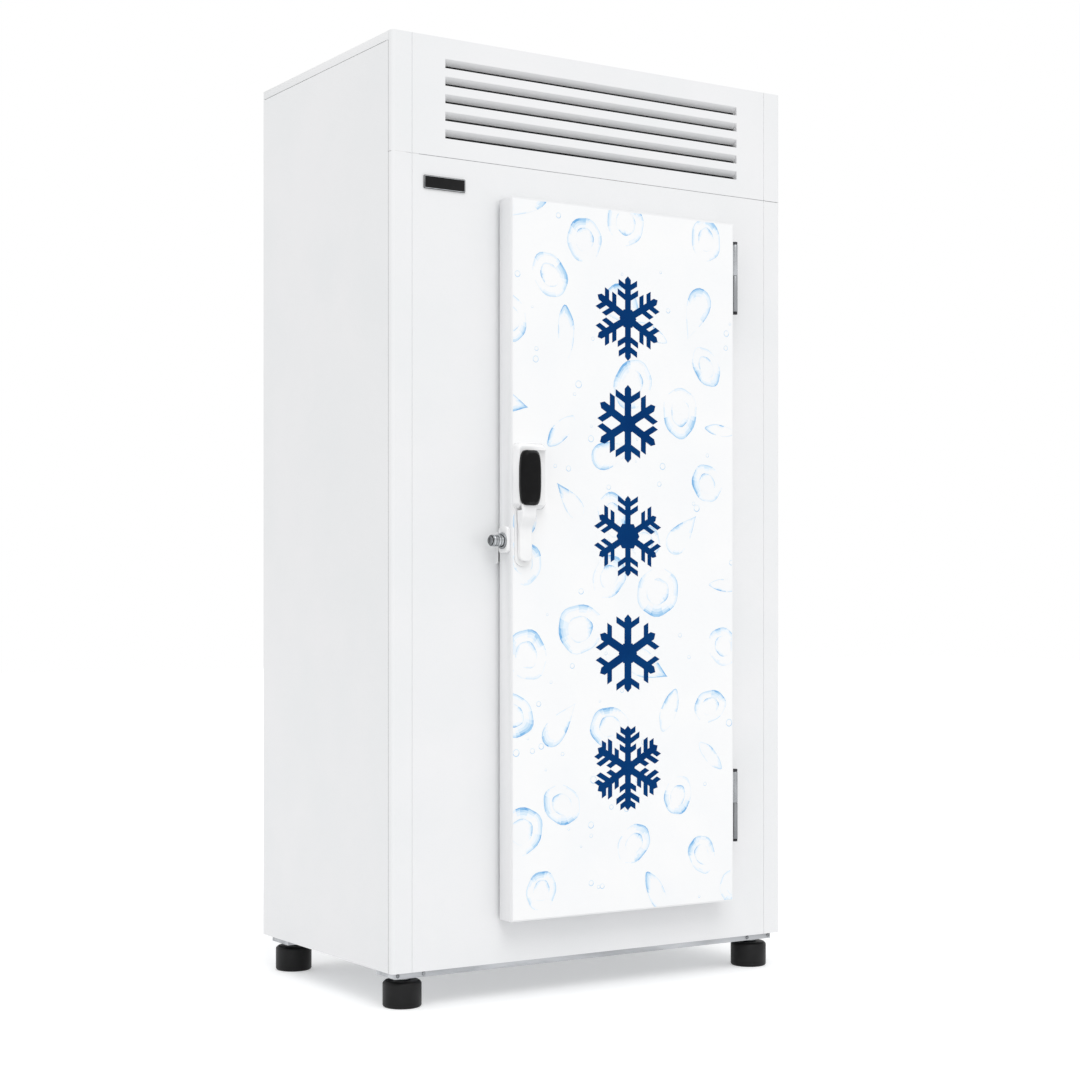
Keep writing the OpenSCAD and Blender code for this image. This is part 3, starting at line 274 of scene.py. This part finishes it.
# Printed door: melting ice all over the sheet, in inks from faint to deep, and a column of bold flakes.
# Lengths are in metres.
printLow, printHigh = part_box("door_print")
printSheet = {
    "front": printLow.y,
    "inkLift": 0.00010, "flakeLift": 0.00022,  # how far the inks stand ahead of the sheet
    "leastArea": 1e-8,  # smaller scraps are left out
    "film": {"grain": 1200, "detail": 5, "rough": (0.3, 0.38), "blend": (0.4, 0.6)},
    "inks": (((246, 250, 254), (236, 245, 253)), ((232, 243, 252), (214, 234, 249)),
             ((206, 229, 248), (178, 214, 243)), ((166, 208, 241), (118, 178, 229))),
    "inkPatches": (30, 38, 46, 54), "inkShine": 0.12,
    "navy": ((2, 51, 107), (4, 58, 114)), "navyPatch": 9, "navyShine": 0.03,
}
meltingIce = {
    "pieces": 46, "tries": 12000, "size": (0.045, 0.065), "spacing": 1.0, "seed": 41,
    "past": 0.02,  # how far beyond the sheet a piece's middle may lie
    "bands": (1.0, 0.955, 0.89, 0.80, 0.68, 0.56),  # from the outline inwards
    "inner": 0.54, "innerFaint": 0.7,  # size of a crystal's inner outline and how much fainter it is
    # ink round an outline: its mean, its swing from dry to wet side, its ripple, its loss per band
    "mean": 0.42, "swing": 0.34, "ripple": 0.26, "ripples": 3, "levels": 4.6, "perBand": 0.95,
    "cuts": 2, "cutShare": 0.2,
    "crystalFlat": (0.72, 0.95), "crystalReach": (0.9, 1.08),
    "splinter": ((-1, 0), (-0.35, 0.36), (0.45, 0.3), (1, 0.04), (0.35, -0.3), (-0.5, -0.28)),
    "splinterSlim": (0.8, 1.2),
    "dropFat": (0.62, 0.78), "dropTip": 1.4, "dropPoints": 26,
    "bubbles": 120, "bubbleSize": (0.0025, 0.0085), "bubbleNear": 0.95,
    "bubblePoints": 20, "bubbleLit": 11, "bubbleInner": 0.8,
}


def printInk(name, tones, patch, shine):
    # one ink of the print: a tone that drifts to its neighbour, on a smooth film
    return surface(name, printSheet["film"] | {"tones": tones, "patch": patch, "shine": shine})


def clipToSheet(points):
    # keeps the part of a convex outline that lies on the printed sheet
    limits = ((0, printLow.x, 1), (0, printHigh.x, -1), (1, printLow.z, 1), (1, printHigh.z, -1))
    for axis, limit, way in limits:
        kept = []
        for a, b in zip(points, points[1:] + points[:1]):
            da, db = (a[axis] - limit) * way, (b[axis] - limit) * way
            if da >= 0:
                kept.append(a)
            if (da >= 0) != (db >= 0):
                t = da / (da - db)
                kept.append((a[0] + t * (b[0] - a[0]), a[1] + t * (b[1] - a[1])))
        points = kept
        if len(points) < 3:
            return []
    return points


def area(points):
    # above zero where the points run anticlockwise
    return sum(a[0] * b[1] - b[0] * a[1] for a, b in zip(points, points[1:] + points[:1])) / 2


def layFlat(bm, points, lift, ink=0):
    # one flat outline on the door's face, turned to the front
    points = clipToSheet(points)
    if len(points) < 3 or abs(area(points)) < printSheet["leastArea"]:
        return
    if area(points) < 0:
        points = list(reversed(points))
    face = bm.faces.new([bm.verts.new((x, printSheet["front"] - lift, z)) for x, z in points])
    face.material_index = ink


def turned(points, cx, cz, r, angle):
    # an outline drawn round 0, scaled by r, turned and put in its place
    c, s = math.cos(angle), math.sin(angle)
    return [(cx + r * (x * c - z * s), cz + r * (x * s + z * c)) for x, z in points]


def roundOff(points):
    # cuts every corner, as melting does
    near, far = meltingIce["cutShare"], 1 - meltingIce["cutShare"]
    for _ in range(meltingIce["cuts"]):
        cut = []
        for a, b in zip(points, points[1:] + points[:1]):
            for s, t in ((far, near), (near, far)):
                cut.append((a[0] * s + b[0] * t, a[1] * s + b[1] * t))
        points = cut
    return points


def crystalOutline(rng):
    flat = rng.uniform(*meltingIce["crystalFlat"])
    points = []
    for i in range(6):
        a, reach = math.radians(60 * i), rng.uniform(*meltingIce["crystalReach"])
        points.append((reach * math.cos(a), reach * flat * math.sin(a)))
    return roundOff(points)


def splinterOutline(rng):
    slim = rng.uniform(*meltingIce["splinterSlim"])
    return roundOff([(x, z * slim) for x, z in meltingIce["splinter"]])


def dropOutline(rng):
    fat = rng.uniform(*meltingIce["dropFat"])
    points = []
    for i in range(meltingIce["dropPoints"]):
        a = 2 * math.pi * i / meltingIce["dropPoints"]
        points.append((fat * math.sin(a) * abs(math.sin(a / 2)) ** meltingIce["dropTip"], math.cos(a)))
    return points


def shadeIce(bm, outline, rng, faint=0.0):
    # bands of ink along the outline, deepest on the side where the ice is wettest
    count = len(outline)
    cx, cz = sum(p[0] for p in outline) / count, sum(p[1] for p in outline) / count
    wetSide, phase = rng.uniform(0, 2 * math.pi), rng.uniform(0, 2 * math.pi)
    bands, deepest = meltingIce["bands"], len(printSheet["inks"]) - 1
    for a, b in zip(outline, outline[1:] + outline[:1]):
        angle = math.atan2((a[1] + b[1]) / 2 - cz, (a[0] + b[0]) / 2 - cx)
        depth = meltingIce["mean"] + meltingIce["swing"] * math.cos(angle - wetSide)
        depth += meltingIce["ripple"] * math.sin(meltingIce["ripples"] * angle + phase)
        for k, (outer, inner) in enumerate(zip(bands, bands[1:])):
            level = depth * meltingIce["levels"] - k * meltingIce["perBand"] - faint
            if level < 0:
                break
            quad = [(cx + (p[0] - cx) * share, cz + (p[1] - cz) * share)
                    for p, share in ((a, outer), (b, outer), (b, inner), (a, inner))]
            layFlat(bm, quad, printSheet["inkLift"], min(deepest, int(level)))


def bubble(bm, cx, cz, r):
    # a thin ring, fainter along about half of its turn
    points, inner = meltingIce["bubblePoints"], meltingIce["bubbleInner"]
    for i in range(points):
        a, b = 2 * math.pi * i / points, 2 * math.pi * (i + 1) / points
        quad = [(cx + r * share * math.cos(t), cz + r * share * math.sin(t))
                for t, share in ((a, 1), (b, 1), (b, inner), (a, inner))]
        layFlat(bm, quad, printSheet["inkLift"], 1 if i < meltingIce["bubbleLit"] else 2)


rng = random.Random(meltingIce["seed"])
ice = bmesh.new()
placed = []
outlines = (crystalOutline, crystalOutline, splinterOutline, crystalOutline, dropOutline)
tries, past = 0, meltingIce["past"]
while len(placed) < meltingIce["pieces"] and tries < meltingIce["tries"]:
    tries += 1
    r = rng.uniform(*meltingIce["size"])
    x = rng.uniform(printLow.x - past, printHigh.x + past)
    z = rng.uniform(printLow.z - past, printHigh.z + past)
    if all(math.hypot(x - px, z - pz) > (r + pr) * meltingIce["spacing"] for px, pz, pr in placed):
        kind = outlines[len(placed) % len(outlines)]
        turn, shape = rng.uniform(0, 2 * math.pi), kind(rng)
        shadeIce(ice, turned(shape, x, z, r, turn), rng)
        if kind is crystalOutline:
            shadeIce(ice, turned(shape, x, z, r * meltingIce["inner"], turn), rng, meltingIce["innerFaint"])
        placed.append((x, z, r))
for _ in range(meltingIce["bubbles"]):
    x, z = rng.uniform(printLow.x, printHigh.x), rng.uniform(printLow.z, printHigh.z)
    r = rng.uniform(*meltingIce["bubbleSize"])
    if all(math.hypot(x - px, z - pz) > r + pr * meltingIce["bubbleNear"] for px, pz, pr in placed):
        bubble(ice, x, z, r)
iceInks = [printInk("iceInk" + str(i), tones, patch, printSheet["inkShine"])
           for i, (tones, patch) in enumerate(zip(printSheet["inks"], printSheet["inkPatches"]))]
finishPiece("ice_motifs", ice, iceInks, "door")
print("door print laid:", len(placed), "ice motifs")

# Five bold flakes: z is the middle's height, r the arm's reach, hub the hexagon's radius, arm and branch
# half widths, and branches give the share of the arm where a branch starts and its length.
flakeColumn = {
    "x": 0.040,
    "flakes": (
        {"z": 1.428, "r": 0.090, "arm": 0.0075, "branch": 0.0055, "hub": 0.022,
         "branches": ((0.50, 0.022), (0.74, 0.019))},
        {"z": 1.204, "r": 0.083, "arm": 0.0085, "branch": 0.0065, "hub": 0.020, "branches": ((0.62, 0.027),)},
        {"z": 0.965, "r": 0.086, "arm": 0.0070, "branch": 0.0050, "hub": 0.030,
         "branches": ((0.58, 0.022), (0.80, 0.022))},
        {"z": 0.716, "r": 0.083, "arm": 0.0090, "branch": 0.0060, "hub": 0.024, "branches": ((0.72, 0.024),)},
        {"z": 0.472, "r": 0.090, "arm": 0.0075, "branch": 0.0055, "hub": 0.018,
         "branches": ((0.42, 0.016), (0.64, 0.026), (0.84, 0.014))},
    ),
}


def boldFlake(bm, cx, flake):
    # a hexagon with six arms; every branch starts on its arm's side, so nothing overlaps
    hub, arm, reach, sixth = flake["hub"], flake["arm"], flake["r"], math.radians(60)
    start, half = hub * math.cos(math.radians(30)), flake["branch"] / math.sin(sixth)
    limb = [[(start, -arm), (reach - arm, -arm), (reach, 0), (reach - arm, arm), (start, arm)]]
    for share, length in flake["branches"]:
        for side in (-1, 1):
            u, v = share * reach, side * arm
            du, dv = length * math.cos(sixth), side * length * math.sin(sixth)
            limb.append([(u - half, v), (u + half, v), (u + half + du, v + dv), (u - half + du, v + dv)])
    corners = [math.radians(60 * i) for i in range(6)]
    hexagon = [(cx + hub * math.cos(a), flake["z"] + hub * math.sin(a)) for a in corners]
    layFlat(bm, hexagon, printSheet["flakeLift"])
    for k in range(6):
        angle = math.radians(30 + 60 * k)
        for outline in limb:
            layFlat(bm, turned(outline, cx, flake["z"], 1, angle), printSheet["flakeLift"])


flakes = bmesh.new()
for flake in flakeColumn["flakes"]:
    boldFlake(flakes, flakeColumn["x"], flake)
navyInk = printInk("navyInk", printSheet["navy"], printSheet["navyPatch"], printSheet["navyShine"])
finishPiece("flake_column", flakes, [navyInk], "door")
print("flake column laid")


# Bright rim of the bare name plate
plateLow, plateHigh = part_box("name_plate")
plateRim = {"inset": 0.8, "width": 1.1, "edge": 0.15, "proud": 0.25, "corner": 2.0, "leastCorner": 0.3}


def roundedOutline(x0, x1, z0, z1, r, steps=6):
    # a rectangle with round corners, from the lower to the upper limits
    out = []
    for cx, cz, start in ((x1 - r, z1 - r, 0), (x0 + r, z1 - r, 90), (x0 + r, z0 + r, 180),
                          (x1 - r, z0 + r, 270)):
        for i in range(steps + 1):
            a = math.radians(start + 90 * i / steps)
            out.append((cx + r * math.cos(a), cz + r * math.sin(a)))
    return out


rimRings = []
width, edge = plateRim["width"], plateRim["edge"]
for across, lift in ((0, 0), (edge, 1), (width - edge, 1), (width, 0)):
    inset = (plateRim["inset"] + across) * mm
    corner = max(plateRim["leastCorner"] * mm, plateRim["corner"] * mm - inset)
    outline = roundedOutline(plateLow.x + inset, plateHigh.x - inset, plateLow.z + inset,
                             plateHigh.z - inset, corner)
    rimRings.append([(x, plateLow.y - plateRim["proud"] * mm * lift, z) for x, z in outline])
ringPiece("name_plate_rim", rimRings, "pin_steel", "cabinet", ends="open", crisp=180)
print("name plate rimmed")


# Dark strip in the seam between each side panel and its corner post: painted shade of the seam
seamShadeStrip = {"seam": 1.0, "sunk": 0.05, "thick": 0.8, "ease": 0.05}
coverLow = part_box("top_cover")[0]
for side, name in ((-1, "left"), (1, "right")):
    panelLow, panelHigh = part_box("side_panel_" + name)
    outer = panelLow.x if side < 0 else panelHigh.x
    face = outer - side * seamShadeStrip["sunk"] * mm
    back = outer - side * (seamShadeStrip["sunk"] + seamShadeStrip["thick"]) * mm
    y0, y1, ease = panelLow.y - seamShadeStrip["seam"] * mm, panelLow.y, seamShadeStrip["ease"] * mm
    section = ((back, y0), (face - side * ease, y0), (face, y0 + ease), (face, y1 - ease),
               (face - side * ease, y1), (back, y1))
    heights = (panelLow.z, coverLow.z - seamShadeStrip["seam"] * mm)
    seamShadeRings = [[(x, y, z) for x, y in section] for z in heights]
    # each strip is dark as painted shade inside the seam
    ringPiece("seam_shade_strip_" + name, seamShadeRings, "gland_black", "cabinet")
print("side seams shaded")


# Dark quilted mat behind the louvres: painted shade for the compartment seen through the slots
grilleLow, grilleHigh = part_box("grille_panel")
slotShadeMat = {"behind": 15.4, "thick": 2.0, "side": 72, "low": 12, "high": 34, "quilt": 9.0, "swell": 0.5}
left, right = grilleLow.x + slotShadeMat["side"] * mm, grilleHigh.x - slotShadeMat["side"] * mm
low, high = grilleLow.z + slotShadeMat["low"] * mm, grilleHigh.z - slotShadeMat["high"] * mm
back = grilleLow.y + (slotShadeMat["behind"] + slotShadeMat["thick"]) * mm
columns = int((right - left) / (slotShadeMat["quilt"] * mm))
slotShadeRings = []
for i in range(columns + 1):
    x = left + (right - left) * i / columns
    front = grilleLow.y + (slotShadeMat["behind"] - slotShadeMat["swell"] * (i % 2)) * mm
    slotShadeRings.append([(x, front, low), (x, front, high), (x, back, high), (x, back, low)])
# the mat's dark finish is painted shade behind the slots
ringPiece("grille_slot_shade", slotShadeRings, "gland_black", "cabinet")


# Dark strips along the lower edges of the louvres, painted shade of the gaps under them: half is half their
# length, depth lies behind the panel's face, and hang is how far a strip's lower and upper edges are below its
# louvre's top.
louvre = {"count": 5, "top": 43.0, "pitch": 35.9, "half": 374.5, "depth": (11.6, 13.9), "hang": (14.0, 11.2),
          "ease": 0.3}
strips = bmesh.new()
y0, y1 = (grilleLow.y + depth * mm for depth in louvre["depth"])
half, ease = louvre["half"] * mm, louvre["ease"] * mm
for k in range(louvre["count"]):
    top = grilleHigh.z - (louvre["top"] + k * louvre["pitch"]) * mm
    z0, z1 = (top - hang * mm for hang in louvre["hang"])
    section = ((y0, z0 + ease), (y0, z1 - ease), (y0 + ease, z1), (y1, z1), (y1, z0), (y0 + ease, z0))
    joinRings(strips, [[(x, y, z) for y, z in section] for x in (-half, half)])
# their dark finish is painted shade under the louvres
finishPiece("louvre_shade_strips", strips, [finished["gland_black"]], "cabinet")
print("louvre strips made")


# Lip on the front panel beside the opening for the lock's hook, lower towards both ends
keeperLow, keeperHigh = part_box("lock_keeper")
keeperLip = {"pocketWall": 1.5, "beside": 0.2, "width": 2.6, "tall": 5.0, "over": 5.0, "ease": 0.6,
             "slope": 2.0, "drop": 3.4}
panelFace, drop = grilleLow.y, keeperLip["drop"]
x1 = keeperLow.x + (keeperLip["pocketWall"] - keeperLip["beside"]) * mm
x0, ease = x1 - keeperLip["width"] * mm, keeperLip["ease"] * mm
lower, upper, slope = keeperLow.z - keeperLip["over"] * mm, keeperHigh.z, keeperLip["slope"] * mm
lipRings = []
for z, fall in ((lower, drop), (lower + slope, 0), (upper - slope, 0), (upper, drop)):
    tip = panelFace - (keeperLip["tall"] - fall) * mm
    lipRings.append([(x1, panelFace, z), (x1, tip + ease, z), (x1 - ease, tip, z), (x0 + ease, tip, z),
                     (x0, tip + ease, z), (x0, panelFace, z)])
ringPiece("keeper_lip", lipRings, "white_paint", "cabinet", crisp=50)
print("keeper lip made")


# Small caps that close the rounded top corners of the upper posts
postLow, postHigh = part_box("upper_posts")
postCap = {"radius": 8.0, "sheet": 1.2, "deep": 14.0, "clear": 0.02, "steps": 8}
centre, inner = postCap["radius"], postCap["sheet"] + postCap["clear"]
turns = [math.radians(180 + 90 * i / postCap["steps"]) for i in range(postCap["steps"] + 1)]
outline = [(centre + (centre - inner) * math.cos(a), centre + (centre - inner) * math.sin(a)) for a in turns]
far = centre - postCap["clear"]
outline += [(far, inner), (far, postCap["deep"]), (inner, postCap["deep"])]
for side, name in ((-1, "left"), (1, "right")):
    outer = postLow.x if side < 0 else postHigh.x
    capRings = [[(outer - side * x * mm, postLow.y + y * mm, z) for x, y in outline]
                for z in (postHigh.z - postCap["sheet"] * mm, postHigh.z)]
    ringPiece("post_cap_" + name, capRings, "white_paint", "cabinet")
print("post caps made")


# Grip: straight-sided bar with slightly drawn-in ends and a chamfer all round its front
gripLow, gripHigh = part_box("latch_grip")
gripShape = {
    "taper": 3.5, "taperPower": 2.2, "corner": 5.5, "points": 96,
    # depth behind the foremost point and how far the outline draws in there, mm
    "shells": ((17.0, 1.6), (16.2, 0.5), (14.8, 0.0), (8.5, 0.0), (7.6, 0.35), (1.2, 5.6), (0.35, 6.6),
               (0.0, 8.5)),
}
gripMid = (gripLow + gripHigh) / 2
halfW, halfH = (gripHigh.x - gripLow.x) / 2, (gripHigh.z - gripLow.z) / 2
power = 2 / gripShape["corner"]
gripRings = []
for depth, drawIn in gripShape["shells"]:
    ring = []
    for i in range(gripShape["points"]):
        a = 2 * math.pi * (i + 0.5) / gripShape["points"]
        c, s = math.cos(a), math.sin(a)
        z = (halfH - drawIn * mm) * math.copysign(abs(s) ** power, s)
        belly = halfW - gripShape["taper"] * mm * (abs(z) / halfH) ** gripShape["taperPower"]
        x = (belly - drawIn * mm) * math.copysign(abs(c) ** power, c)
        ring.append((gripMid.x + x, gripLow.y + depth * mm, gripMid.z + z))
    gripRings.append(ring)
ringPiece("grip_cover", gripRings, "grip_black", "lever", ["latch_grip"], crisp=20)
print("grip made")


# Lever: a folded channel that swings forward in a soft bend below the grip
leverLow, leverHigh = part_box("latch_lever")
leverShape = {
    "front": (16.5, 30.0),  # distance of its front from the door's face, below and above the bend
    "bend": (63.0, 95.0), "bendSteps": 14,  # heights above the lower end where the bend starts and stops
    "sheet": 2.5, "wall": 3.0, "arm": 6.0, "corner": 3.5, "cornerSteps": 5, "flare": 2.0,
    "endRadius": 10.0, "endAngles": (0, 12, 25, 38, 52, 68, 90),  # round lower end
    "stem": (15, 25, 40, 55),  # heights of the sections below the bend
    "wallsTo": 104.0, "sliver": 0.1,  # above this height only a sliver is left of the side walls
    "topBevel": (1.5, 1.2),  # height and width
    # height above the lower end and distance of the walls' back from the door's face
    "backs": ((0, 13.4), (5, 9.0), (11, 6.5), (19, 6.5), (63, 8.0), (104, 8.0)),
}
leverHalf, leverMid = (leverHigh.x - leverLow.x) / 2 / mm, (leverHigh.x + leverLow.x) / 2
leverHeight = (leverHigh.z - leverLow.z) / mm


def alongBacks(height):
    # where the walls' back stands at a height
    backs = leverShape["backs"]
    for (h0, b0), (h1, b1) in zip(backs, backs[1:]):
        if height <= h1:
            return b0 + (b1 - b0) * (height - h0) / (h1 - h0)
    return backs[-1][1]


def channelRing(half, front, back, sheet, z):
    # a channel's section, open towards the door, with round front corners
    r, wall, steps = leverShape["corner"], leverShape["wall"], leverShape["cornerSteps"]
    arc = [math.pi / 2 * i / steps for i in range(steps + 1)]
    points = [(-half, back)]
    points += [(-half + r - r * math.cos(a), front - r + r * math.sin(a)) for a in arc]
    points += [(half - r + r * math.cos(a), front - r + r * math.sin(a)) for a in reversed(arc)]
    points += [(half, back), (half - wall, back), (half - wall, front - sheet), (wall - half, front - sheet),
               (wall - half, back)]
    return [(leverMid + x * mm, doorFace - ahead * mm, z) for x, ahead in points]


# Heights above the lower end and the half width at each
endRadius, wallsTo, sliver = leverShape["endRadius"], leverShape["wallsTo"], leverShape["sliver"]
bendLow, bendHigh = leverShape["bend"]
bendSteps, (bevelHeight, bevelWidth) = leverShape["bendSteps"], leverShape["topBevel"]
stations = [(endRadius * (1 - math.cos(a)), leverHalf - endRadius + endRadius * math.sin(a))
            for a in map(math.radians, leverShape["endAngles"])]
stations += [(h, leverHalf) for h in (*leverShape["stem"], bendLow)]
stations += [(bendLow + (bendHigh - bendLow) * i / bendSteps, leverHalf) for i in range(1, bendSteps + 1)]
stations += [(wallsTo - sliver, leverHalf), (wallsTo + sliver, leverHalf)]
stations += [(leverHeight - bevelHeight, leverHalf), (leverHeight, leverHalf - bevelWidth)]
leverRings = []
frontLow, frontHigh = leverShape["front"]
for height, half in stations:
    t = min(1, max(0, (height - bendLow) / (bendHigh - bendLow)))
    sweep = t * t * (3 - 2 * t)
    front = frontLow + (frontHigh - frontLow) * sweep
    back, sheet = alongBacks(height), leverShape["sheet"]
    if height >= wallsTo:
        back, sheet = front - leverShape["arm"] - sliver, leverShape["arm"]
    ring = channelRing(half + leverShape["flare"] * sweep, front, back, sheet, leverLow.z + height * mm)
    leverRings.append(ring)
ringPiece("lever_channel", leverRings, "latch_white", "lever", ["latch_lever"], crisp=40)
print("lever made")


# Lock: dark rings round the plug and at the foot of the barrel, and a dark block in the keyway, all painted
# shade of grooves and recess
barrelLow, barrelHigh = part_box("lock_barrel")
plugLow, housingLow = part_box("lock_plug")[0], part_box("lock_housing")[0]
lockShadeTrim = {
    "headLength": 3.0, "headRadius": 9.0, "barrelRadius": 12.0, "flange": 4.0, "segments": 48,
    "headClear": 0.9, "barrelClear": 0.3,
    # distance from the ring's seat and radius added to the ring's own, mm
    "ring": ((0.05, -0.2), (0.45, 0.0), (0.6, 0.5), (0.45, 1.0), (0.05, 1.2)),
    "keyway": (1.5, 8.8), "keyDepth": 1.0, "keySunk": 0.2, "keyEase": (0.3, 0.25),
}
lockY, lockZ = (barrelLow.y + barrelHigh.y) / 2, (barrelLow.z + barrelHigh.z) / 2
barrelEnd = plugLow.x + lockShadeTrim["headLength"] * mm


def shadeRing(name, seat, radius):
    # a dark turned ring on the lock's axis, painted shade of a groove, standing off a seat towards the free
    # side
    rings = []
    for i in range(lockShadeTrim["segments"]):
        a = 2 * math.pi * i / lockShadeTrim["segments"]
        rings.append([(seat - out * mm, lockY + (radius + more) * mm * math.cos(a),
                       lockZ + (radius + more) * mm * math.sin(a)) for out, more in lockShadeTrim["ring"]])
    ringPiece(name, rings, "gland_black", "door", ends="joined", crisp=180)


shadeRing("lock_plug_shade_ring", barrelEnd, lockShadeTrim["headRadius"] + lockShadeTrim["headClear"])
shadeRing("lock_flange_shade_ring", housingLow.x - lockShadeTrim["flange"] * mm,
         lockShadeTrim["barrelRadius"] + lockShadeTrim["barrelClear"])
easeDepth, easeIn = lockShadeTrim["keyEase"]
# a dark block in the keyway as painted shade of its recess
keywayShadeRings = []
for x, shrink in ((barrelEnd - lockShadeTrim["keySunk"] * mm, 0), (plugLow.x + lockShadeTrim["keyDepth"] * mm, 0),
                  (plugLow.x + (lockShadeTrim["keyDepth"] - easeDepth) * mm, easeIn)):
    w, h = ((size / 2 - shrink) * mm for size in lockShadeTrim["keyway"])
    keywayShadeRings.append([(x, lockY + y, lockZ + z) for y, z in ((-w, -h), (w, -h), (w, h), (-w, h))])
ringPiece("lock_keyway_shade", keywayShadeRings, "gland_black", "lock")
print("lock trimmed")


# Bellows of the door gasket
gasketLow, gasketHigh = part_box("door_gasket")
gasketWidth = 14.0
# Section: distance in from the gasket's outer edge and from the door, both as shares
gasketSection = ((0.00, 0.00), (0.00, 0.16), (0.14, 0.24), (0.06, 0.44), (0.16, 0.62), (0.10, 0.78),
                 (0.18, 0.97), (0.40, 1.00), (0.82, 1.00), (0.92, 0.90), (0.86, 0.70), (0.97, 0.52),
                 (0.88, 0.32), (1.00, 0.16), (1.00, 0.00))
gasketRings = []
for atRight, atTop in ((0, 0), (1, 0), (1, 1), (0, 1)):
    ring = []
    for share, out in gasketSection:
        d = share * gasketWidth * mm
        x = gasketHigh.x - d if atRight else gasketLow.x + d
        z = gasketHigh.z - d if atTop else gasketLow.z + d
        ring.append((x, gasketLow.y + out * (gasketHigh.y - gasketLow.y), z))
    gasketRings.append(ring)
ringPiece("gasket_bellows", gasketRings, "gasket_grey", "door", ["door_gasket"], ends="joined")
print("gasket made")


# Studio: pale floor, soft light and the photo's viewing angle. Angles in degrees, places in metres.
studio = {
    "air": 0.86, "sunStrength": 0.85, "sunSoft": 38, "sunFrom": (-0.25, -0.72, 0.95),
    "floorTone": tone(228, 229, 230), "floorLift": 0.375, "floorSize": 40,
    "cameraPlace": (-2.4608, -3.8657, 0.8196), "cameraYaw": 32.65, "lens": 68.06, "shiftUp": 0.0598,
}


def seenDirectly(tree):
    # 1 for rays from the camera, from gloss and through glass
    path = tree.nodes.new("ShaderNodeLightPath")
    seen = path.outputs["Is Camera Ray"]
    for name in ("Is Glossy Ray", "Is Transmission Ray"):
        larger = tree.nodes.new("ShaderNodeMath")
        larger.operation = "MAXIMUM"
        tree.links.new(seen, larger.inputs[0])
        tree.links.new(path.outputs[name], larger.inputs[1])
        seen = larger.outputs["Value"]
    return seen


air = bpy.data.worlds.new("studioAir")
scene.world = air
air.use_nodes = True
tree = air.node_tree
tree.nodes.clear()
lit, shown = tree.nodes.new("ShaderNodeBackground"), tree.nodes.new("ShaderNodeBackground")
lit.inputs["Strength"].default_value = studio["air"]
lit.inputs["Color"].default_value = (1, 1, 1, 1)
shown.inputs["Color"].default_value = (1, 1, 1, 1)
pick, output = tree.nodes.new("ShaderNodeMixShader"), tree.nodes.new("ShaderNodeOutputWorld")
tree.links.new(seenDirectly(tree), pick.inputs[0])
tree.links.new(lit.outputs[0], pick.inputs[1])
tree.links.new(shown.outputs[0], pick.inputs[2])
tree.links.new(pick.outputs[0], output.inputs["Surface"])

floorFinish = bpy.data.materials.new("studioFloor")
floorFinish.use_nodes = True
tree = floorFinish.node_tree
tree.nodes.clear()
matte, glow = tree.nodes.new("ShaderNodeBsdfDiffuse"), tree.nodes.new("ShaderNodeEmission")
matte.inputs["Color"].default_value = studio["floorTone"]
glow.inputs["Strength"].default_value = studio["floorLift"]
both, pick = tree.nodes.new("ShaderNodeAddShader"), tree.nodes.new("ShaderNodeMixShader")
output = tree.nodes.new("ShaderNodeOutputMaterial")
tree.links.new(matte.outputs[0], both.inputs[0])
tree.links.new(glow.outputs[0], both.inputs[1])
tree.links.new(seenDirectly(tree), pick.inputs[0])
tree.links.new(matte.outputs[0], pick.inputs[1])
tree.links.new(both.outputs[0], pick.inputs[2])
tree.links.new(pick.outputs[0], output.inputs["Surface"])

floor = bmesh.new()
reach = studio["floorSize"] / 2
floor.faces.new([floor.verts.new((x, y, 0)) for x, y in ((-reach, -reach), (reach, -reach), (reach, reach),
                                                         (-reach, reach))])
floorMesh = bpy.data.meshes.new("studio_floor")
floor.to_mesh(floorMesh)
floor.free()
floorMesh.materials.append(floorFinish)
floorObject = bpy.data.objects.new("studio_floor", floorMesh)
scene.collection.objects.link(floorObject)

sunData = bpy.data.lights.new("softKey", "SUN")
sunData.energy = studio["sunStrength"]
sunData.angle = math.radians(studio["sunSoft"])
sun = bpy.data.objects.new("softKey", sunData)
sun.rotation_euler = Vector(studio["sunFrom"]).to_track_quat("Z", "Y").to_euler()
scene.collection.objects.link(sun)

cameraData = bpy.data.cameras.new("photoView")
cameraData.lens = studio["lens"]
cameraData.shift_y = studio["shiftUp"]
camera = bpy.data.objects.new("photoView", cameraData)
camera.location = studio["cameraPlace"]
camera.rotation_euler = (math.radians(90), 0, -math.radians(studio["cameraYaw"]))
scene.collection.objects.link(camera)
scene.camera = camera
scene.view_settings.view_transform = "Standard"
print("studio ready")
